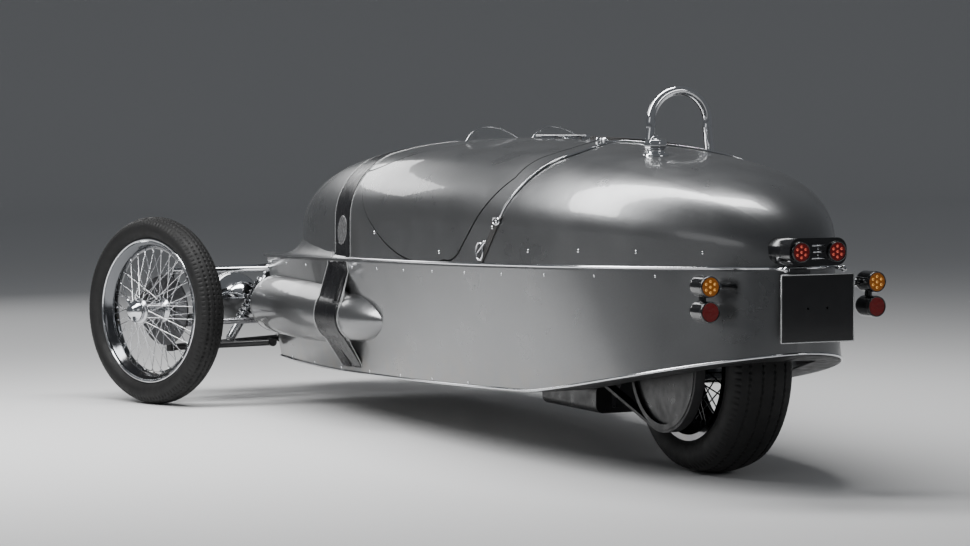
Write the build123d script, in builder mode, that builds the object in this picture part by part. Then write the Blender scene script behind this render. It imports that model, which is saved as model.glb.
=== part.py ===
from build123d import *
from math import atan2, cos, pi, sin, sqrt
import os

# Torpedo-bodied three wheeled car: two steered wire wheels in front, one driven wheel behind.
# Millimetres. +X is the car's left, the front faces -Y, +Z is up, and z = 0 is the road.
# Places along the car are "at" values: distances behind the front axle.

# The car as a whole
axle_y = -1345.84           # front axle, so that the middle of the whole length is at y = 0
wheelbase = 2500.0
run_gap = 0.3               # between faces of different bodies that run together
shut_gap = 5.0              # gap round the lid
steer_rest = 21.7           # degrees to the left, as parked
camber = 1.1                # degrees, tops leaning in

# Body outline: half widths and heights
body_half = 489.0
widest_at = 1328.0
crest_at = 1161.0
crest_rise = 386.0          # crest above the belt line
nose_at = -181.0
tail_at = 2986.0
shoulder_share = 0.334      # share of the rise that stands upright above the belt
corner_share = 0.873        # share of the rest that the shoulder's arc takes
belt_front_z = 525.0        # belt line over the front axle
belt_slope = 0.0255         # it climbs towards the tail
skin = 12.0                 # upper shell, panel and frame together
tub_wall = 18.0
rail_width = 30.0
lip = 8.0                   # flat rail between tub and upper body, the shelf round the nose
tub_front_at = 170.0
brim_at = -258.0            # front tip of the shelf
tub_lean = 0.885            # floor width as a share of the belt width
tail_lean = 1.185           # the same share at the very end of the tail
lean_from = 2000.0          # from here the sides turn upright
floor_z = 165.0
fall_at = 700.0             # up to here the floor is level
kick_at = 2130.0            # from here the underside climbs to the tail
kick_drop = 47.0            # fall of the floor before it climbs
kick_rise = 157.0
run_bend, climb_bend = 1.3, 1.17     # how late the fall and the climb gather pace
side_nose, side_tail = (1.9, 2.03), (2.56, 1.648)     # bend and bluntness of the outline from above
top_nose, top_tail = (2.206, 1.964), (2.11, 2.465)    # and of the crest line from the side
tub_nose = (5.0, 2.5)

# Cuts in the upper body
seam_z = 830.0              # height at which the shut lines turn from the top to the sides
cover_inner_x = 18.0
cover_front_at = 1430.0
cover_rear_at = 1850.0
cockpit_from, cockpit_to = 1375.0, 1925.0
cockpit_inner_x, cockpit_outer_x = -32.0, -398.0
cockpit_corner = 105.0
rim_out, rim_in, rim_proud = 15.0, 14.0, 9.0
bulkhead_at = 2078.0
bulkhead_thick = 12.0
dash_at = 1262.0
dash_thick = 10.0

# Wheels
front_radius, front_width, front_bead = 332.0, 104.0, 243.0
rear_radius, rear_width, rear_bead = 311.0, 196.0, 205.0
front_seat, rear_seat = 32.0, 82.0   # half widths between the rims' flanges
king_x = 740.0              # steering axis, out from the middle
king_at = -26.0
stub = 71.0                 # wheel centre, out from the steering axis
king_low, king_high = 196.0, 470.0
arm_length = 100.0          # steering arm behind the steering axis
spoke_pairs = 12
spoke_radius = 2.2
pulley_x, pulley_width, pulley_radius = 146.0, 34.0, 181.0
sprocket_at, sprocket_z, sprocket_radius = 2150.0, 268.0, 34.0
bay_from, bay_to = 2098.0, 2864.0
bay_right, bay_left, bay_narrow, bay_end = -205.0, 238.0, 2540.0, 112.0
belt_thick = 9.0


def place(at):
    """y of a point that lies `at` behind the front axle."""
    return axle_y + at


def point(x, at, z):
    return Vector(x, place(at), z)


def taper(at, full_at, end_at, bend, blunt):
    """1 at full_at, 0 at end_at, along a superellipse."""
    t = min(max((at - full_at) / (end_at - full_at), 0.0), 1.0)
    return (1.0 - t ** bend) ** (1.0 / blunt)


def belt_z(at):
    return belt_front_z + belt_slope * at


def half_width(at, inset=0.0):
    if at > widest_at:
        share = taper(at, widest_at, tail_at - inset, *side_tail)
    else:
        share = taper(at, widest_at, nose_at + inset, *side_nose)
    return (body_half - inset) * share


def rise(at, inset=0.0):
    if at > crest_at:
        share = taper(at, crest_at, tail_at - inset, *top_tail)
    else:
        share = taper(at, crest_at, nose_at + inset, *top_nose)
    return (crest_rise - inset) * share


def tub_half(at, inset=0.0):
    if at > widest_at:
        return half_width(at, inset)
    return (body_half - inset) * taper(at, widest_at, brim_at + inset, *tub_nose)


def underside(at):
    run = min(max(at - fall_at, 0.0) / (kick_at - fall_at), 1.0)
    climb = max(at - kick_at, 0.0) / (tail_at - kick_at)
    return floor_z + kick_drop * run ** run_bend + kick_rise * climb ** climb_bend


def foot_share(at):
    """Width of the lower body at the floor as a share of its width at the belt."""
    turned_up = max(at - lean_from, 0.0) / (tail_at - lean_from)
    return tub_lean + (tail_lean - tub_lean) * turned_up ** 1.5


def arch_sizes(at, inset=0.0):
    """Half width, rise, shoulder height, corner radius and top radius of the body's section."""
    w, h = half_width(at, inset), rise(at, inset)
    s = max(min(shoulder_share * rise(at, min(inset, 0.0)), 0.6 * h), h - 0.95 * w)
    r = min(corner_share * (h - s), 0.8 * w)
    top = ((w - r) ** 2 + (h - s) ** 2 - r ** 2) / (2 * (h - s - r))
    return w, h, s, r, top


def arch(at, inset=0.0, drop=0.0):
    """Section of the upper body: upright sides, two shoulder arcs and one broad arc over the top."""
    w, h, s, r, top = arch_sizes(at, inset)
    base = belt_z(at)
    turn = atan2(w - r, top - (h - s))
    mid = (turn + pi / 2) / 2
    join = (w - r + r * sin(turn), base + s + r * cos(turn))
    bend = (w - r + r * sin(mid), base + s + r * cos(mid))
    with BuildSketch(Plane.XZ.offset(-place(at))) as section:
        with BuildLine():
            Line((-w, base - drop), (w, base - drop))
            Line((w, base - drop), (w, base + s))
            ThreePointArc((w, base + s), bend, join)
            ThreePointArc(join, (0, base + h), (-join[0], join[1]))
            ThreePointArc((-join[0], join[1]), (-bend[0], bend[1]), (-w, base + s))
            Line((-w, base + s), (-w, base - drop))
        make_face()
    return section.sketch


def band(at, half, low, high, lean=1.0):
    """Four sided section from z = low to high, narrower at the foot by `lean`."""
    with BuildSketch(Plane.XZ.offset(-place(at))) as section:
        with BuildLine():
            Polyline((-half * lean, low), (half * lean, low), (half, high), (-half, high), close=True)
        make_face()
    return section.sketch


def body_form(inset=0.0, drop=0.0, count=15):
    """The upper body as one solid. Its sections crowd evenly towards the round nose and tail."""
    nose, tail = nose_at + inset, tail_at - inset
    middle, reach = (nose + tail) / 2, (tail - nose) / 2
    with BuildPart() as form:
        for step in range(count):
            angle = pi * (0.02 + 0.96 * step / (count - 1))
            add(arch(middle - reach * cos(angle), inset, drop))
        loft()
    return form.part


def tub_form(inset=0.0, floor=0.0, top=0.0, start=tub_front_at, count=13):
    """The lower body as one solid, from its flat front to the rounded tail."""
    tail = tail_at - inset
    with BuildPart() as form:
        for step in range(count):
            at = start + (tail - start) * sin(0.486 * pi * step / (count - 1)) / sin(0.486 * pi) * 0.999
            add(band(at, tub_half(at, inset), underside(at) + floor, belt_z(at) + top, foot_share(at)))
        loft()
    return form.part


def rail_form(outline, nose, tail, low, high, count=15):
    """Flat plate at the belt line whose half width is outline(at)."""
    middle, reach = (nose + tail) / 2, (tail - nose) / 2
    with BuildPart() as form:
        for step in range(count):
            at = middle - reach * cos(pi * (0.02 + 0.96 * step / (count - 1)))
            add(band(at, outline(at), belt_z(at) + low, belt_z(at) + high))
        loft()
    return form.part


def rod(start, end, radius, mode=Mode.ADD):
    """Round bar between two points, added to the part that is being built."""
    run = Vector(*end) - Vector(*start)
    with BuildSketch(Plane(origin=start, z_dir=run)) as section:
        Circle(radius)
    extrude(section.sketch, amount=run.length, mode=mode)


def ball(centre, radius):
    with Locations(Location(centre)):
        Sphere(radius)


def lid_space(gap):
    """Space of the passenger's lid: its outline from above, and below seam_z its outline from the side."""
    with BuildPart() as upper:
        with BuildSketch(Plane.XY.offset(seam_z)):
            with BuildLine():
                Line((cover_inner_x, place(cover_front_at)), (cover_inner_x, place(cover_rear_at)))
                ThreePointArc((cover_inner_x, place(cover_rear_at)), (150, place(1990)), (380, place(2060)))
                Line((380, place(2060)), (620, place(2060)))
                Line((620, place(2060)), (620, place(1010)))
                Line((620, place(1010)), (410, place(1010)))
                ThreePointArc((410, place(1010)), (300, place(1300)), (cover_inner_x, place(cover_front_at)))
            make_face()
            offset(amount=-gap, kind=Kind.INTERSECTION)
        extrude(amount=300)
    with BuildPart() as lower:
        with BuildSketch(Plane.YZ.offset(cover_inner_x + gap)):
            with BuildLine():
                Line((place(2060), seam_z + 40), (place(2060), seam_z))
                Line((place(2060), seam_z), (place(1840), 612))
                ThreePointArc((place(1840), 612), (place(1800), 584), (place(1740), 577))
                ThreePointArc((place(1740), 577), (place(1250), 641), (place(1010), seam_z))
                Line((place(1010), seam_z), (place(1010), seam_z + 40))
                Line((place(1010), seam_z + 40), (place(2060), seam_z + 40))
            make_face()
            offset(amount=-gap, kind=Kind.INTERSECTION)
        extrude(amount=620)
        with BuildSketch(Plane.XY.offset(seam_z)):
            with Locations((400, place(1500))):
                Rectangle(2000, 2000)
        extrude(amount=300, mode=Mode.SUBTRACT)
    return upper.part + lower.part


def cockpit_zone(grow):
    """Upright space of the driver's opening, widened by `grow`."""
    with BuildPart() as zone:
        with BuildSketch(Plane.XY.offset(620)):
            with Locations(((cockpit_inner_x + cockpit_outer_x) / 2, place((cockpit_from + cockpit_to) / 2))):
                RectangleRounded(cockpit_inner_x - cockpit_outer_x + 2 * grow,
                                 cockpit_to - cockpit_from + 2 * grow, cockpit_corner + grow)
        extrude(amount=500)
    return zone.part


def deck_zone():
    """Space behind the joint of the rear deck: two scallops above, a slanted line on each side."""
    with BuildPart() as upper:
        with BuildSketch(Plane.XY.offset(seam_z)):
            with BuildLine():
                ThreePointArc((0, place(1940)), (185, place(2085)), (420, place(2165)))
                Polyline((420, place(2165)), (620, place(2165)), (620, place(3200)), (-620, place(3200)),
                         (-620, place(2165)), (-420, place(2165)))
                ThreePointArc((-420, place(2165)), (-185, place(2085)), (0, place(1940)))
            make_face()
        extrude(amount=300)
    with BuildPart() as lower:
        with BuildSketch(Plane.YZ.offset(-620)):
            with BuildLine():
                Polyline((place(2165), seam_z), (place(1955), 560), (place(1955), 400), (place(3200), 400),
                         (place(3200), seam_z), close=True)
            make_face()
        extrude(amount=1240)
    return upper.part + lower.part


def slab(at, thick, low, high):
    with BuildPart() as plate:
        with BuildSketch(Plane.XZ.offset(-place(at))):
            with Locations((0, (low + high) / 2)):
                Rectangle(1200, high - low)
        extrude(amount=-thick)
    return plate.part


column_x, column_z, column_at, column_tilt = -205.0, 715.0, 1405.0, 20.0
column_axis = Vector(0, cos(column_tilt * pi / 180), sin(column_tilt * pi / 180))
hand_centre = point(column_x, column_at, column_z)
column_radius = 17.0
column_end = hand_centre - column_axis * 560

body_outer = body_form()
body_inner = body_form(skin, 20)
tub_outer = tub_form(0, 0, -lip)
tub_inner = tub_form(tub_wall, tub_wall, 10, tub_front_at + tub_wall)
lid_opening = lid_space(0)
deck_space = deck_zone()

with BuildPart() as tub:
    add(tub_outer)
    add(tub_inner, mode=Mode.SUBTRACT)
    # Open bay for the rear wheel, its pulley and arms
    with BuildSketch(Plane.XY.offset(100)):
        with BuildLine():
            Polyline((bay_right, place(bay_from)), (bay_left, place(bay_from)), (bay_left, place(bay_narrow)),
                     (bay_end, place(bay_to)), (-bay_end, place(bay_to)), (bay_right, place(bay_narrow)),
                     close=True)
        make_face()
        fillet(vertices(), 30)
    extrude(amount=300, mode=Mode.SUBTRACT)

with BuildPart() as top_rail:
    add(rail_form(tub_half, brim_at, tail_at, -lip, 0))
    add(rail_form(lambda at: half_width(at, rail_width), nose_at + rail_width, tail_at - rail_width,
                  -lip - 5, 5), mode=Mode.SUBTRACT)

flare_rows = [               # at, half width at the top, half width at the foot, height
    (-252.0, 20.0, 60.0, 6.0),
    (-232.0, 42.0, 108.0, 14.0),
    (-205.0, 60.0, 150.0, 30.0),
    (-150.0, 83.0, 190.0, 56.0),
    (-105.0, 124.0, 228.0, 74.0),
    (-60.0, 165.0, 262.0, 86.0),
    (20.0, 225.0, 319.0, 91.0),
    (100.0, 274.0, 366.0, 90.0),
    (220.0, 321.0, 411.0, 86.0),
    (350.0, 362.0, 442.0, 79.0),
    (480.0, 393.0, 460.0, 70.0),
    (600.0, 417.0, 472.0, 60.0),
    (850.0, 456.0, 485.0, 37.0),
    (1100.0, 478.0, 487.5, 15.0),
]


def hollow_middle(wide, high):
    """Middle of the hollow arc from (wide, 0) to (0, high), level at its foot or upright at its top."""
    if high < wide:
        radius = (wide ** 2 + high ** 2) / (2 * high)
        half_turn = atan2(wide, radius - high) / 2
        return wide - radius * sin(half_turn), radius - radius * cos(half_turn)
    radius = (wide ** 2 + high ** 2) / (2 * wide)
    half_turn = atan2(high, radius - wide) / 2
    return radius - radius * cos(half_turn), high - radius * sin(half_turn)


with BuildPart() as nose_flare:
    for at, top_half, foot_half, high in flare_rows:
        base = belt_z(at)
        mid_x, mid_z = hollow_middle(foot_half - top_half, high)
        mid_x, mid_z = top_half + mid_x, base + mid_z
        with BuildSketch(Plane.XZ.offset(-place(at))):
            with BuildLine():
                Line((-foot_half, base), (foot_half, base))
                ThreePointArc((foot_half, base), (mid_x, mid_z), (top_half, base + high))
                Line((top_half, base + high), (-top_half, base + high))
                ThreePointArc((-top_half, base + high), (-mid_x, mid_z), (-foot_half, base))
            make_face()
    loft(ruled=True)

with BuildPart() as scuttle:
    add(body_outer)
    add(nose_flare.part)
    add(body_inner, mode=Mode.SUBTRACT)
    add(deck_space, mode=Mode.SUBTRACT)
    add(lid_opening, mode=Mode.SUBTRACT)
    add(cockpit_zone(rim_out), mode=Mode.SUBTRACT)

with BuildPart() as rear_deck:
    add(body_outer)
    add(body_inner, mode=Mode.SUBTRACT)
    add(deck_space, mode=Mode.INTERSECT)

with BuildPart() as passenger_cover:
    add(body_outer)
    add(body_inner, mode=Mode.SUBTRACT)
    add(lid_space(shut_gap), mode=Mode.INTERSECT)

hinge_x, hinge_z, knuckle = 20.5, 951.0, 5.0
knuckle_rows = [             # first and last at of each knuckle, and the side of its foot
    (1450.0, 1500.0, -1),
    (1502.0, 1588.0, 1),
    (1590.0, 1650.0, -1),
    (1652.0, 1738.0, 1),
    (1740.0, 1790.0, -1),
]


def hinge_half(which):
    """Knuckles and feet of one side of the lid's hinge: -1 on the scuttle, 1 on the lid."""
    with BuildPart() as leaf:
        for first, last, foot in knuckle_rows:
            if foot == which:
                rod(point(hinge_x, first, hinge_z), point(hinge_x, last, hinge_z), knuckle)
                with BuildSketch(Plane.XZ.offset(-place(first))) as section:
                    with Locations((hinge_x + foot * 7, hinge_z - 12)):
                        Rectangle(8, 26)
                extrude(section.sketch, amount=first - last)
        add(body_outer, mode=Mode.SUBTRACT)
    return leaf


hinge_fixed = hinge_half(-1)
hinge_moving = hinge_half(1)

with BuildPart() as cockpit_rim:
    add(body_form(-rim_proud))
    add(body_form(skin + 14, 20), mode=Mode.SUBTRACT)
    add(cockpit_zone(rim_out), mode=Mode.INTERSECT)
    add(cockpit_zone(-rim_in), mode=Mode.SUBTRACT)

with BuildPart() as rear_bulkhead:
    add(slab(bulkhead_at, bulkhead_thick, 100, 1000))
    add(body_form(skin, 0) + tub_inner, mode=Mode.INTERSECT)
    add(top_rail.part, mode=Mode.SUBTRACT)

with BuildPart() as dash_panel:
    add(slab(dash_at, dash_thick, 640, 1000))
    add(body_inner, mode=Mode.INTERSECT)
    rod(column_end, hand_centre, column_radius + 0.2, Mode.SUBTRACT)

seat_rows = [                # x of the middle, width
    (-205.0, 310.0),
    (205.0, 310.0),
]
seat_front_at, seat_rear_at = 1440.0, 1900.0


def floor_top(at):
    """Just above the tub's floor."""
    return underside(at) + tub_wall + 0.4


with BuildPart() as seat_base:
    for seat_x, seat_width in seat_rows:
        with BuildSketch(Plane.YZ.offset(seat_x - seat_width / 2)):
            with BuildLine():
                Polyline((place(seat_front_at), floor_top(seat_front_at)),
                         (place(seat_rear_at), floor_top(seat_rear_at)), (place(seat_rear_at), 330),
                         (place(seat_front_at), 370), close=True)
            make_face()
        extrude(amount=seat_width)

with BuildPart() as seat_back:
    for seat_x, seat_width in seat_rows:
        with BuildSketch(Plane.YZ.offset(seat_x - seat_width / 2)):
            with BuildLine():
                Polyline((place(seat_rear_at + 0.5), floor_top(seat_rear_at)),
                         (place(bulkhead_at - 0.4), floor_top(bulkhead_at)), (place(bulkhead_at - 0.4), 800),
                         (place(bulkhead_at - 80), 800), (place(seat_rear_at + 0.5), 380), close=True)
            make_face()
        extrude(amount=seat_width)

hoop_x, hoop_at, hoop_radius, hoop_top, hoop_tube = -170.0, 2020.0, 97.6, 1087.0, 14.0
hoop_splay, hoop_foot_z = 6.5 * pi / 180, 860.0
hoop_half = hoop_radius * cos(hoop_splay)
hoop_turn_z = hoop_top - hoop_radius - hoop_radius * sin(hoop_splay)
hoop_foot = hoop_half + (hoop_turn_z - hoop_foot_z) * sin(hoop_splay) / cos(hoop_splay)
with BuildPart() as roll_hoop:
    with BuildLine(Plane.XZ.offset(-place(hoop_at))) as hoop_path:
        Line((hoop_x - hoop_foot, hoop_foot_z), (hoop_x - hoop_half, hoop_turn_z))
        ThreePointArc((hoop_x - hoop_half, hoop_turn_z), (hoop_x, hoop_top), (hoop_x + hoop_half, hoop_turn_z))
        Line((hoop_x + hoop_half, hoop_turn_z), (hoop_x + hoop_foot, hoop_foot_z))
    with BuildSketch(Plane(origin=point(hoop_x - hoop_foot, hoop_at, hoop_foot_z),
                           z_dir=(sin(hoop_splay), 0, cos(hoop_splay)))):
        Circle(hoop_tube)
    sweep()
    add(body_outer, mode=Mode.SUBTRACT)

cap_x, cap_at = 80.0, 2320.0
with BuildPart() as filler_cap:
    with BuildSketch(Plane.XY.offset(880)):
        with Locations((cap_x, place(cap_at))):
            Circle(28)
    extrude(amount=62)
    with BuildSketch(Plane.XY.offset(936)):
        with Locations((cap_x, place(cap_at))):
            Circle(33)
    extrude(amount=12)
    add(body_outer, mode=Mode.SUBTRACT)

screen_x, screen_at, screen_half, screen_top = 115.0, 1290.0, 102.0, 978.0
with BuildPart() as fly_screens:
    for side in (-1, 1):
        with BuildSketch(Plane.XY.offset(900)):
            with BuildLine():
                outer_arc = ThreePointArc((side * screen_x - screen_half, place(screen_at + 45)),
                                          (side * screen_x, place(screen_at)),
                                          (side * screen_x + screen_half, place(screen_at + 45)))
                offset(amount=4, side=Side.RIGHT)
            make_face()
        extrude(amount=100)
    with BuildSketch(Plane.XZ.offset(-place(screen_at - 40))):
        for side in (-1, 1):
            with Locations((side * screen_x, screen_top - 130)):
                Circle(130)
    extrude(amount=-140, mode=Mode.INTERSECT)
    add(body_outer, mode=Mode.SUBTRACT)

strap_width, strap_thick = 26.0, 4.0
with BuildPart() as strap_space:
    with BuildSketch(Plane.YZ.offset(-620)):
        with BuildLine():
            Polyline((place(1940), 572), (place(1940 + strap_width), 572),
                     (place(2050 + strap_width), 718), (place(2050), 718), close=True)
        make_face()
    extrude(amount=1240)

with BuildPart() as deck_strap:
    add(body_form(-strap_thick))
    add(body_outer, mode=Mode.SUBTRACT)
    add(strap_space.part, mode=Mode.INTERSECT)

pod_x, pod_z, pod_front_at = 442.0, 361.0, 225.0
with BuildPart() as side_pods:
    for side in (-1, 1):
        with BuildSketch(Plane.XY.offset(pod_z)):
            with BuildLine():
                Line((side * pod_x, place(pod_front_at)), (side * (pod_x + 78), place(pod_front_at)))
                ThreePointArc((side * (pod_x + 78), place(pod_front_at)), (side * (pod_x + 93), place(pod_front_at + 12)),
                              (side * (pod_x + 99), place(pod_front_at + 40)))
                ThreePointArc((side * (pod_x + 99), place(pod_front_at + 40)), (side * (pod_x + 105), place(600)),
                              (side * (pod_x + 82), place(1000)))
                ThreePointArc((side * (pod_x + 82), place(1000)), (side * (pod_x + 51), place(1170)),
                              (side * pod_x, place(1252)))
                Line((side * pod_x, place(1252)), (side * pod_x, place(pod_front_at)))
            make_face()
        revolve(axis=Axis(point(side * pod_x, 0, pod_z), (0, 1, 0)))
    add(tub_outer, mode=Mode.SUBTRACT)

lamp_x, lamp_at, lamp_radius = 442.0, -205.0, 88.0
with BuildPart() as headlamps:
    for side in (-1, 1):
        with BuildSketch(Plane.XY.offset(pod_z)):
            with BuildLine():
                Line((side * lamp_x, place(lamp_at)), (side * (lamp_x + lamp_radius), place(lamp_at)))
                Line((side * (lamp_x + lamp_radius), place(lamp_at)),
                     (side * (lamp_x + lamp_radius), place(lamp_at + 14)))
                ThreePointArc((side * (lamp_x + lamp_radius), place(lamp_at + 14)),
                              (side * (lamp_x + 62), place(lamp_at + 100)), (side * lamp_x, place(lamp_at + 138)))
                Line((side * lamp_x, place(lamp_at + 138)), (side * lamp_x, place(lamp_at)))
            make_face()
        revolve(axis=Axis(point(side * lamp_x, 0, pod_z), (0, 1, 0)))
        rod(point(side * 278.3, -120, pod_z), point(side * 390, -120, pod_z), 12)

lens_radius, lens_dome = lamp_radius - 6.0, 18.0
dome_radius = (lens_radius ** 2 + lens_dome ** 2) / (2 * lens_dome)
dome_turn = atan2(lens_radius, dome_radius - lens_dome) / 2
dome_mid = (dome_radius * sin(dome_turn), dome_radius * cos(dome_turn) - dome_radius + lens_dome)
with BuildPart() as headlamp_lenses:
    for side in (-1, 1):
        with BuildSketch(Plane.XY.offset(pod_z)):
            with BuildLine():
                Line((side * lamp_x, place(lamp_at)), (side * (lamp_x + lens_radius), place(lamp_at)))
                ThreePointArc((side * (lamp_x + lens_radius), place(lamp_at)),
                              (side * (lamp_x + dome_mid[0]), place(lamp_at - dome_mid[1])),
                              (side * lamp_x, place(lamp_at - lens_dome)))
                Line((side * lamp_x, place(lamp_at - lens_dome)), (side * lamp_x, place(lamp_at)))
            make_face()
        revolve(axis=Axis(point(side * lamp_x, 0, pod_z), (0, 1, 0)))

damper_top_x, damper_at = 387.6, 18.0
frame_x, frame_front_at, frame_top, frame_low, frame_tube = 262.0, -120.0, 474.0, 208.0, 16.0
with BuildPart() as front_frame:
    for side in (-1, 1):
        for z in (frame_low, frame_top):
            rod(point(side * frame_x, frame_front_at, z), point(side * frame_x, tub_front_at, z), frame_tube)
            ball(point(side * frame_x, frame_front_at, z), frame_tube)
        rod(point(side * frame_x, frame_front_at, frame_low), point(side * frame_x, frame_front_at, frame_top),
            frame_tube)
        rod(point(side * frame_x, damper_at, frame_top), point(side * (damper_top_x + 12), damper_at, frame_top), 11)

case_half, case_front_at, case_rear_at = frame_x - frame_tube - 0.3, -222.0, 30.0
case_low, case_high = 215.0, 500.0
fin_step, fin_thick, fin_depth, fin_count = 36.0, 8.0, 58.0, 12
with BuildPart() as motor_case:
    with BuildSketch(Plane.XZ.offset(-place(case_front_at))):
        with Locations((0, (case_low + case_high) / 2)):
            RectangleRounded(2 * case_half, case_high - case_low, 40)
    extrude(amount=-(case_rear_at - case_front_at))
    with BuildSketch(Plane.XZ.offset(-place(case_front_at))):
        with Locations((0, (case_low + case_high) / 2)):
            with GridLocations(fin_step, 1, fin_count, 1):
                Rectangle(fin_thick, case_high - case_low - 20)
    extrude(amount=fin_depth)

bush_radius, bush_half, boss_radius, boss_half = 14.0, 18.0, 16.0, 13.0
cross_x, damper_low_z = 530.0, 226.7
wish_rows = [                # z of the outer boss, z of the rear bush, z of the front bush, tube radius
    (king_high, 480.0, frame_top, 10.0),
    (king_low, 216.0, frame_low, 12.0),
]


def wishbones(row):
    """Both sides' wishbones: two tubes from inner bushes to a boss round the steering axis."""
    outer_z, rear_z, front_z, radius = row
    with BuildPart() as pair:
        for side in (-1, 1):
            outer = point(side * king_x, king_at, outer_z)
            rear = point(side * 425, tub_front_at - bush_half - 0.2, rear_z)
            front = point(side * (frame_x + frame_tube + bush_radius + 0.3), frame_front_at, front_z)
            along = Vector(0, bush_half, 0)
            rod(rear, outer, radius)
            rod(front, outer, radius)
            rod(rear - along, rear + along, bush_radius)
            rod(front - along, front + along, bush_radius)
            rod(outer - Vector(0, 0, boss_half), outer + Vector(0, 0, boss_half), boss_radius)
            if outer_z == king_low:
                share = (king_x - cross_x) / (king_x - 425)
                rod(outer + (rear - outer) * share, outer + (front - outer) * share * 0.7, 8)
    return pair


upper_wishbones = wishbones(wish_rows[0])
lower_wishbones = wishbones(wish_rows[1])

damper_radius, rod_radius, spring_radius = 17.0, 10.0, 26.0
damper_eye = 12.0
with BuildPart() as dampers:
    for side in (-1, 1):
        low = point(side * cross_x, damper_at, damper_low_z)
        high = point(side * damper_top_x, damper_at, frame_top - 11 - damper_eye - 0.3)
        rod(low - Vector(0, 14, 0), low + Vector(0, 14, 0), damper_eye)
        rod(high - Vector(0, 12, 0), high + Vector(0, 12, 0), damper_eye)
        rod(low, low + (high - low) * 0.5, damper_radius)
        rod(low + (high - low) * 0.5, high, rod_radius)
        rod(low + (high - low) * 0.86, low + (high - low) * 0.9, spring_radius)

with BuildPart() as springs:
    for side in (-1, 1):
        low = point(side * cross_x, damper_at, damper_low_z)
        high = point(side * damper_top_x, damper_at, frame_top - 11 - damper_eye - 0.3)
        with BuildSketch(Plane(origin=low + (high - low) * 0.24, z_dir=high - low)):
            Circle(spring_radius)
            Circle(damper_radius + 0.2, mode=Mode.SUBTRACT)
        extrude(amount=(high - low).length * 0.62)

rod_z, arm_z = 290.0, 316.0
rod_radius, arm_radius = 11.0, 9.0
rest = steer_rest * pi / 180
with BuildPart() as track_rod:
    ends = [side * king_x - arm_length * sin(rest) for side in (-1, 1)]
    end_at = king_at + arm_length * cos(rest)
    rod(point(ends[0], end_at, rod_z), point(ends[1], end_at, rod_z), rod_radius)
    for end in ends:
        rod(point(end, end_at, rod_z - 14), point(end, end_at, arm_z - arm_radius - run_gap), 14)


def wheel_axis(side):
    """Unit vector out of a front wheel, steered and cambered as parked."""
    turn, lean = steer_rest * pi / 180, camber * pi / 180
    return Vector(side * cos(turn) * cos(lean), side * sin(turn) * cos(lean), sin(lean))


def wheel_centre(side):
    axis = wheel_axis(side)
    return point(side * king_x + stub * axis.X, king_at + (stub * axis.Y), front_radius)


def turned(centre, axis, profile):
    """Ring or disc turned about `axis`; the profile is a list of (radius, along) corners."""
    radial = axis.cross(Vector(0, 0, 1)).cross(axis).normalized() if abs(axis.Z) < 0.9 else Vector(1, 0, 0)
    with BuildSketch(Plane(origin=centre, x_dir=radial, z_dir=radial.cross(axis))) as section:
        with BuildLine():
            Polyline(*profile, close=True)
        make_face()
    revolve(section.sketch, axis=Axis(centre, axis))


def tyre(centre, axis, radius, width, bead, seat):
    """Tyre with a rounded crown, bulging walls and a bead that sits on the rim."""
    half = width / 2
    radial = axis.cross(Vector(0, 0, 1)).cross(axis).normalized()
    wall = bead + (radius - bead) * 0.52
    with BuildPart() as part:
        with BuildSketch(Plane(origin=centre, x_dir=radial, z_dir=radial.cross(axis))):
            with BuildLine():
                Line((bead, -seat), (bead, seat))
                Line((bead, seat), (bead + 14, seat))
                ThreePointArc((bead + 14, seat), (wall, half), (radius - 16, half * 0.82))
                ThreePointArc((radius - 16, half * 0.82), (radius, 0), (radius - 16, -half * 0.82))
                ThreePointArc((radius - 16, -half * 0.82), (wall, -half), (bead + 14, -seat))
                Line((bead + 14, -seat), (bead, -seat))
            make_face()
        revolve(axis=Axis(centre, axis))
    return part


def wire_wheel(centre, axis, bead, half_rim, hub_radius, hub_half, pairs):
    """Rim, hub and crossed spokes as one solid."""
    radial = axis.cross(Vector(0, 0, 1)).cross(axis).normalized()
    across = axis.cross(radial)
    with BuildPart() as part:
        turned(centre, axis, [(bead, -half_rim), (bead + 12, -half_rim), (bead + 12, -half_rim - 4),
                              (bead - 5, -half_rim - 3), (bead - 24, -half_rim * 0.4),
                              (bead - 24, half_rim * 0.4), (bead - 5, half_rim + 3), (bead + 12, half_rim + 4),
                              (bead + 12, half_rim), (bead, half_rim), (bead - 16, half_rim * 0.4),
                              (bead - 16, -half_rim * 0.4)])
        turned(centre, axis, [(0, -hub_half), (hub_radius, -hub_half), (hub_radius, -hub_half + 8),
                              (hub_radius - 12, -hub_half + 8), (hub_radius - 12, hub_half - 8),
                              (hub_radius, hub_half - 8), (hub_radius, hub_half), (0, hub_half)])
        for index in range(pairs * 2):
            for flange in (-1, 1):
                lead = 0.42 if (index % 2) else -0.42
                angle = 2 * pi * (index + 0.25 * (flange + 1)) / (pairs * 2)
                root = radial * cos(angle) + across * sin(angle)
                tip = radial * cos(angle + lead) + across * sin(angle + lead)
                rod(centre + root * (hub_radius - 6) + axis * flange * (hub_half - 4),
                    centre + tip * (bead - 20) - axis * flange * half_rim * 0.12, spoke_radius)
    return part


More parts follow.
